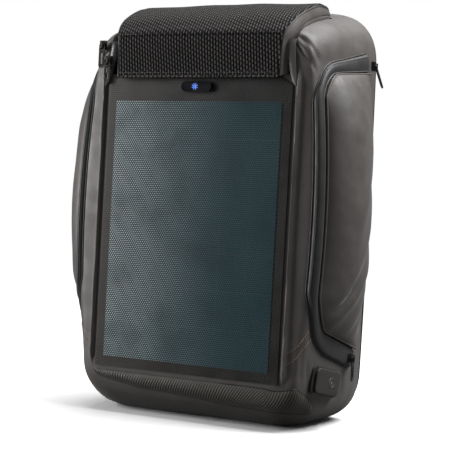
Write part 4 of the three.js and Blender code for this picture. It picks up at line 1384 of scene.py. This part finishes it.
def port_plate(half, radius, low, high, bevel, place):
    """A rounded plate in the port's frame, with a rolled outer edge: points and faces."""
    rings = []
    for x, inset in ((low, 0.4), (low + 0.4, 0), (high - bevel, 0), (high - bevel * 0.4, bevel * 0.2),
                     (high - bevel * 0.08, bevel * 0.62), (high, bevel * 1.4), (high + 0.25, bevel * 4)):
        outline = round_corners(*half, radius, 9, radius - inset)
        rings.append(np.column_stack([np.full(len(outline), x), outline]))
    points, faces = capped(rings)
    return placed(points, place), faces


def build_port(looks):
    place = port_place()
    axes = place[:3, :3].T
    pad = add_piece("port_cover_pad", *port_plate((24.5, 14.4), 6, 3.7, 6.1, 1.3, place), looks["rubber"],
                    "port_cover", slot="port_rubber", crease=50)
    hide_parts("port_cover")
    seat = add_piece("port_seat", *port_plate((27.5, 16.0), 7, -0.6, 1.5, 0.6, place), looks["coated_dark"])
    hole = add_piece("port_seat_hole", *box_of((-4, -10.6, -7.0), (6, 10.6, 7.0), place), looks["plastic"])
    seat = finish_piece("port_surround", carve(seat, hole), "bag", 50)
    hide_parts("port_frame")
    paint(looks["socket"], "usb_socket")
    soften(0.3, "usb_socket")
    tongue = block(placed((-2.0, 0, 0.4), place), axes, (5.5, 11, 1.5), 0.9)
    add_many("usb_tongue", [tongue], looks["plastic"], "bag", slot="plastic_black")
    pins = [block(placed((-1.6, y, -0.5), place), axes, (4.4, 1.1, 0.35), 0.9) for y in (-3.6, -1.2, 1.2, 3.6)]
    add_many("usb_contacts", pins, looks["contact"], "bag", slot="socket_metal")
    build_port_icon(place, looks)


def build_port_icon(place, looks):
    """A plain charge icon: a ring round a bolt."""
    face = 6.42
    circle = (0, ICON_Y, ICON_Z) + np.insert(round_section(ICON_RADIUS, 40), 0, face, axis=1)
    tube("port_icon_ring", placed(circle, place), 0.42, looks["mark"], "port_cover", place[:3, 0], closed=True,
         slot="port_rubber")
    zigzag = np.array([(0.9, 2.9), (-1.7, -0.4), (-0.1, -0.4), (-0.9, -2.9), (1.7, 0.5), (0.1, 0.5)])
    corner = (0, ICON_Y, ICON_Z) + np.insert(zigzag, 0, face, axis=1)
    points = np.concatenate([placed(corner, place), placed(corner - (0.5, 0, 0), place)])
    faces = [tuple(range(6)), tuple(reversed(range(6, 12)))]
    faces += [(i, (i + 1) % 6, 6 + (i + 1) % 6, 6 + i) for i in range(6)]
    add_piece("port_icon_bolt", points, faces, looks["mark"], "port_cover", slot="port_rubber")


# ---- tan stitching on the gussets ------------------------------------------------------------------
# Each line of stitches: station and height.
GUSSET_LINES = (((0.16, 88), (0.6, 93), (1.3, 101.5), (2.25, 114)),
                ((0.16, 76), (0.7, 81), (1.6, 91.5), (2.75, 105)))


def gusset_surface(station, z):
    """Points of the bag's right side at fractional stations and heights, without the skin's wrinkles."""
    y, half, bottom, top, corner, foot, bow = smooth_rows(BODY, station).T
    low, high = bottom + foot, top - corner
    x = half + bow * np.clip(1 - ((2 * z - low - high) / (high - low)) ** 2, 0, None)
    return np.stack([x, y, z], axis=1)


def build_gusset_stitches(looks):
    for index, line in enumerate(GUSSET_LINES):
        station, z = spline(line, 60).T
        spots = gusset_surface(station, z)
        ahead = gusset_surface(station + 0.05, z) - gusset_surface(station - 0.05, z)
        way = np.cross(ahead, (0, 0, 1))
        way = way / np.linalg.norm(way, axis=1, keepdims=True)
        way = way * np.sign(way[:, :1])
        path = spots + way * (skin_heights(spots) + 0.35)[:, None]
        for side, sign in SIDES:
            mirror = (sign, 1, 1)
            stitch_line(f"gusset_stitches_{side}_{index + 1}", path * mirror, way * mirror, 2.6, 2.1, 0.34,
                        looks["tan"], "bag")


# ---- back, handle and straps -----------------------------------------------------------------------
CUSHION_VOXEL, CUSHION_PRESSURE, CUSHION_CAP = 4.0, 4.0, 5.0
CHANNEL_DEPTH = 3.4


def mesh_of(piece):
    """The piece's mesh with its modifiers applied."""
    bpy.context.view_layer.update()
    evaluated = piece.evaluated_get(bpy.context.evaluated_depsgraph_get())
    return bpy.data.meshes.new_from_object(evaluated)


def points_of(mesh):
    flat = np.zeros(len(mesh.vertices) * 3)
    mesh.vertices.foreach_get("co", flat)
    return flat.reshape(-1, 3)


def move_points(mesh, points):
    mesh.vertices.foreach_set("co", points.ravel())
    mesh.update()


def inflate(piece, held_below):
    """Swells a pad by cloth simulation. Its points nearer the bag than that y stay where they are."""
    remesh = piece.modifiers.new("remesh", "REMESH")
    remesh.mode = "VOXEL"
    remesh.voxel_size = CUSHION_VOXEL * MM
    swelled = mesh_of(piece)
    piece.modifiers.clear()
    piece.data = swelled
    rest = points_of(swelled)
    held = np.nonzero((rest / MM - (0, FACE_Y, 0))[:, 1] < held_below)[0]
    travel = simulate(piece, held) - rest
    length = np.linalg.norm(travel, axis=1, keepdims=True)
    travel *= np.minimum(1, CUSHION_CAP * MM / np.maximum(length, 1e-9))
    move_points(swelled, rest + travel)
    smooth_over(piece)


def simulate(piece, held):
    """Where a piece's points are after 20 frames under pressure, with the held ones pinned."""
    group = piece.vertex_groups.new(name="held")
    group.add([int(i) for i in held], 1.0, "REPLACE")
    cloth = piece.modifiers.new("cloth", "CLOTH")
    settings = cloth.settings
    settings.quality = 6
    settings.mass = 0.2
    settings.use_pressure = True
    settings.uniform_pressure_force = CUSHION_PRESSURE
    settings.tension_stiffness = settings.compression_stiffness = 25
    settings.bending_stiffness = 2
    settings.vertex_group_mass = "held"
    settings.effector_weights.gravity = 0
    cloth.collision_settings.use_collision = False
    for number in range(1, 21):
        scene.frame_set(number)
    moved = points_of(piece.evaluated_get(bpy.context.evaluated_depsgraph_get()).data)
    piece.modifiers.clear()
    scene.frame_set(1)
    return moved


def smooth_over(piece):
    """Relaxes the remeshed steps and adds one subdivision."""
    relax = piece.modifiers.new("relax", "SMOOTH")
    relax.iterations = 4
    divide = piece.modifiers.new("divide", "SUBSURF")
    divide.levels = divide.render_levels = 1
    mesh = mesh_of(piece)
    piece.modifiers.clear()
    piece.data = mesh
    mesh.shade_smooth()


def round_loop(low, high, radius, inset, y):
    """A rectangle with round corners in the XZ plane at depth y, drawn in by the inset."""
    centre, half = (low + high) / 2, (high - low) / 2
    x, z = (round_corners(half[0], half[2], radius, 14, radius - inset) + centre[[0, 2]]).T
    return np.stack([x, np.full(len(x), y), z], axis=1)


def pad_form(name, low, high, radius, back, front, material, slot):
    """A flat pad with round corners and a crowned face, in the XZ plane."""
    centre, half = (low + high) / 2, (high - low) / 2
    outline = round_corners(half[0], half[2], radius, 10)
    depth = front - back
    rings = []
    for share, y in ((0.97, back), (1, back + 0.25 * depth), (0.985, back + 0.6 * depth),
                     (0.93, back + 0.85 * depth), (0.82, front - 0.3), (0.55, front)):
        x = centre[0] + outline[:, 0] * share
        z = centre[2] + outline[:, 1] * (1 - (1 - share) * half[0] / half[2])
        rings.append(np.stack([x, np.full(len(x), y), z], axis=1))
    return add_piece(name, *capped(rings), material, "bag", slot=slot)


def build_cushion(name, node, radius, width, channels, looks):
    """A cushion over a CAD pad, swelled and then pressed along its channels. channels(points, low, high)
    gives the points' distances from each channel."""
    low, high = span(node)
    pad = pad_form(name, low, high, radius, low[1] - 0.8, high[1] - 2.6, looks["mesh"], "spacer_mesh")
    inflate(pad, low[1] + 1.6)
    points = points_of(pad.data)
    local = points / MM - (0, FACE_Y, 0)
    facing = np.clip((local[:, 1] - low[1] - 2.5) / 3, 0, 1)
    grooves = sum(np.exp(-(away / width) ** 2) for away in channels(local, low, high))
    points[:, 1] -= facing * CHANNEL_DEPTH * grooves * MM
    move_points(pad.data, points)
    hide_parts(node)


BACK_CORNER, BACK_CORE_INSET = 58, 9


def build_back_cover(looks):
    """The back panel: a stepped coated edge round a mesh face, with a binding between them."""
    low, high = span("back_panel")
    front, rear = low[1], high[1]
    flange = front + 4
    profile = ((BACK_CORE_INSET, front), (BACK_CORE_INSET, flange), (1.2, flange), (0.2, flange + 0.7),
               (0, flange + 1.7), (0.6, rear - 1.3), (2, rear - 0.7), (5, rear - 0.5), (16, rear - 0.5),
               (40, rear - 0.5))
    rings = [round_loop(low, high, BACK_CORNER, inset, y) for inset, y in profile]
    points, faces = capped(rings)
    edge_faces = 5 * len(rings[0])
    slots = [0] * edge_faces + [1] * (len(faces) - edge_faces)
    panel = add_piece("back_cover", points, faces, [looks["coated"], looks["mesh"]], "bag",
                      slot="coated_fabric", face_slots=slots)
    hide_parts("back_panel")
    loop = round_loop(low, high, BACK_CORNER, 6, rear - 0.3)
    binding = resample(np.concatenate([loop, loop[:1]]), 260)[:-1]
    tube("back_binding", binding, 1.5, looks["black_piping"], "bag", (0, 1, 0), closed=True,
         slot="coated_fabric")


def build_back(looks):
    build_back_cover(looks)
    for side, sign in SIDES:
        def slanted(p, low, high):
            middle = (low[0] + high[0]) / 2
            levels = [low[2] + (high[2] - low[2]) * k / 4 for k in (1, 2, 3)]
            return [p[:, 2] - level - 0.28 * sign * (p[:, 0] - middle) for level in levels]

        build_cushion(f"back_cushion_{side}", f"back_pad_{side}", 16, 2.6, slanted, looks)

    def upright(p, low, high):
        middle = (low[2] + high[2]) / 2
        return [p[:, 0] - x + 0.2 * (p[:, 2] - middle) for x in (-46, 0, 46)]

    build_cushion("lumbar_cushion", "lumbar_pad", 18, 2.8, upright, looks)


def build_handle(looks):
    low, high = span("carry_handle")
    y = (low[1] + high[1]) / 2
    x, top, bar = 30.4, high[2], low[2] + 7
    points = [(-x, top + 2), (-x, top - 10), (-x + 1, bar + 7), (-x + 8, bar + 0.8), (0, bar),
              (x - 8, bar + 0.8), (x - 1, bar + 7), (x, top - 10), (x, top + 2)]
    line = spline([(px, y, pz) for px, pz in points], 90)
    across = np.cross(frames_along(line), (0, 1, 0))
    loop = sweep("handle_webbing", line, across, rounded_section(13.6, 2.6, 5), looks["webbing"],
                 "carry_handle", slot="webbing")
    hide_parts("carry_handle")
    grip = slice(26, 64)
    swell = 0.5 - 0.5 * np.cos(np.linspace(0, 2 * math.pi, len(line[grip])))
    sections = np.stack([rounded_section(13.9, 3.4 + 1.2 * s, 3.4) for s in swell ** 0.5])
    sweep("handle_grip", line[grip], across[grip], sections, looks["coated_dark"], "carry_handle",
          slot="coated_fabric")
    for side, sign in SIDES:
        rows = [(sign * x, y - 1.2, top + dz) for dz in np.arange(-1, 8, 1.5)]
        add_bartack(f"handle_bartack_{side}", rows, (15.5, 1.0, 0.7), looks)


def add_bartack(name, rows, size, looks):
    """Dense rows of stitches that hold webbing on the bag."""
    add_many(name, [block(middle, AXES, size, 0.6) for middle in rows], looks["thread"], "bag")


# The right strap from its top: x, y and z of its middle, width and thickness.
STRAP = ((66, 168.6, 422, 50, 4), (67, 176, 408, 54, 8), (70, 181, 370, 62, 11), (77, 182, 310, 62, 11),
         (86, 182, 250, 56, 11), (92, 181, 204, 46, 8), (93, 181, 194, 34, 6))
STRAP_ROWS = 120
STRAP_CHANNELS = (0.22, 0.5, 0.78)                           # sewn across it, as shares of its length
WEBBING_WIDTH = 25
# Each route is for the right side: the yoke over the strap's top, the webbing from the bag's foot up to the
# ladder lock, and the webbing through the lock to the strap.
YOKE = ((66, 166.4, 431), (66, 167.2, 426), (66, 170.2, 420.5), (66.4, 173.2, 415))
LOWER_STRAP = ((127, 165.8, 57), (126.6, 167.6, 63), (121, 170.8, 82), (106, 178.6, 130),
               (95.5, 180.6, 160), (93.2, 181.4, 172))
LOCK_WRAP = ((93, 183.6, 171.5), (93, 184.9, 176), (93, 184.6, 182), (93, 182.6, 186.4), (93, 183.2, 196),
             (92.6, 184.6, 203))


def build_strap_pad(side, sign, looks):
    """The padded strap, its bound edges, and the webbing stitched along it."""
    body = f"strap_{side}"
    table = spline(STRAP, STRAP_ROWS)
    path = table[:, :3] * (sign, 1, 1)
    width, thickness = table[:, 3], table[:, 4]
    share = np.linspace(0, 1, STRAP_ROWS)[:, None]
    channels = 1 - 0.10 * np.exp(-((share - np.array(STRAP_CHANNELS)) / 0.012) ** 2).sum(axis=1)
    sections = [rounded_section(w, t, 4.2, 40) for w, t in zip(width, (thickness - 1.2) * channels)]
    pad = sweep(f"strap_pad_{side}", path, (1, 0, 0), np.stack(sections), looks["mesh"], body,
                slot="spacer_mesh", crease=70)
    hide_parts(f"shoulder_strap_{side}")
    across = np.cross(frames_along(path), (0, 1, 0))
    across = across / np.linalg.norm(across, axis=1, keepdims=True)
    face = path[6:-2] + np.array((0, 1, 0)) * (thickness[6:-2] / 2 - 0.2)[:, None]
    edges = [(edge, "inner" if edge * sign < 0 else "outer") for edge in (-1, 1)]
    for edge, tag in edges:
        rim = path + across * (edge * (width / 2 - 0.6))[:, None]
        tube(f"strap_binding_{side}_{tag}", rim, 1.7, looks["black_piping"], body, (0, 1, 0),
             slot="coated_fabric")
    add_webbing(f"strap_webbing_{side}", face, 1.7, looks, body)
    for edge, tag in edges:
        stitch_line(f"strap_stitches_{side}_{tag}", face + (edge * 10.8, 1.0, 0), (0, 1, 0), 3.4, 2.3, 0.3,
                    looks["thread"], body)


def add_webbing(name, path, thickness, looks, body=None, across=(1, 0, 0)):
    section = rounded_section(WEBBING_WIDTH, thickness, 8)
    return sweep(name, path, across, section, looks["webbing"], body, slot="webbing")


def build_strap(side, sign, looks):
    body = f"strap_{side}"
    mirror = np.array((sign, 1, 1))
    build_strap_pad(side, sign, looks)
    paint(looks["plastic"], f"ladder_lock_{side}")
    soften(0.6, f"ladder_lock_{side}")
    yoke = sweep(f"strap_yoke_{side}", spline(YOKE, 24) * mirror, (1, 0, 0), rounded_section(54, 3.0, 6, 28),
                 looks["coated_dark"], slot="coated_fabric")
    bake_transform(yoke)
    slant = np.stack([np.ones(90), np.zeros(90), np.linspace(-sign * 0.36, 0, 90)], axis=1)
    webbing = add_webbing(f"lower_strap_{side}", spline(LOWER_STRAP, 90) * mirror, 1.7, looks, across=slant)
    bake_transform(webbing)
    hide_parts(f"lower_webbing_{side}")
    add_webbing(f"lock_webbing_{side}", spline(LOCK_WRAP, 40) * mirror, 1.5, looks, body)
    rows = [(sign * 127, 167.6, 60 + dz) for dz in (0, 1.6, 3.2, 4.8)]
    add_bartack(f"webbing_bartack_{side}", rows, (20, 0.9, 0.8), looks)


def build_rear_welt(looks):
    loop = ring(BODY[-1], 0)
    loop[:, 1] = 158.4
    path = resample(np.concatenate([loop, loop[:1]]), 400)[:-1]
    made = tube("rear_welt", path, 2.4, looks["black_piping"], "bag", (0, 1, 0), closed=True,
                slot="coated_fabric", count=14)
    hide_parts("rear_piping")


# ---- inside ----------------------------------------------------------------------------------------
def build_divider(looks):
    """The padded divider in front of the laptop, bound round its top."""
    low, high = span("laptop_sleeve")
    sleeve = pad_form("laptop_divider", low, high, 18, low[1], high[1], looks["lining"], "lining")
    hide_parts("laptop_sleeve")
    y, top, half = (low[1] + high[1]) / 2, high[2], high[0]
    hem = spline([(-half, y, top - 60), (-half, y, top - 20), (-half + 10, y, top - 3), (0, y, top),
                  (half - 10, y, top - 3), (half, y, top - 20), (half, y, top - 60)], 120)
    tube("laptop_divider_binding", hem, 2.6, looks["black_piping"], "bag", (0, 1, 0), slot="lining")


def build_power_bank_pouch(looks):
    """An open pouch whose sides draw in a little at half height."""
    low, high = span("power_bank_sleeve")
    half = (high - low) / 2
    outline = round_corners(half[0], half[1], 5, 8)
    centre = ((low + high) / 2)[:2]
    levels = np.linspace(low[2], high[2], 30)
    drawn = 1 - 0.03 * np.sin(math.pi * (levels - low[2]) / (high[2] - low[2]))
    walls = [*zip(levels, drawn), *[(z, 0.94) for z in reversed(levels)]]
    rings = [np.column_stack([centre + outline * share, np.full(len(outline), z)]) for z, share in walls]
    pouch = add_piece("power_bank_pouch", *capped(rings), looks["lining"], "bag", slot="lining")
    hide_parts("power_bank_sleeve")


def build_inside(looks):
    paint(looks["board"], "bottom_board", "frame_sheet")
    paint(looks["plastic"], "panel_junction_box", "charge_controller")
    paint(looks["black_piping"], "panel_lead", "indicator_lead", "usb_lead")
    soften(0.6, "panel_junction_box", "charge_controller", "bottom_board")
    build_divider(looks)
    build_power_bank_pouch(looks)


def main():
    build_camera()
    build_studio()
    looks = build_materials()
    build_body(looks)
    build_lid(looks)
    build_panel(looks)
    build_indicator(looks)
    build_bottom_strip(looks)
    for side, sign in SIDES:
        build_pocket(side, sign, looks)
    build_sliders(looks)
    build_port(looks)
    build_gusset_stitches(looks)
    build_back(looks)
    build_handle(looks)
    for side, sign in SIDES:
        build_strap(side, sign, looks)
    build_rear_welt(looks)
    build_inside(looks)


main()
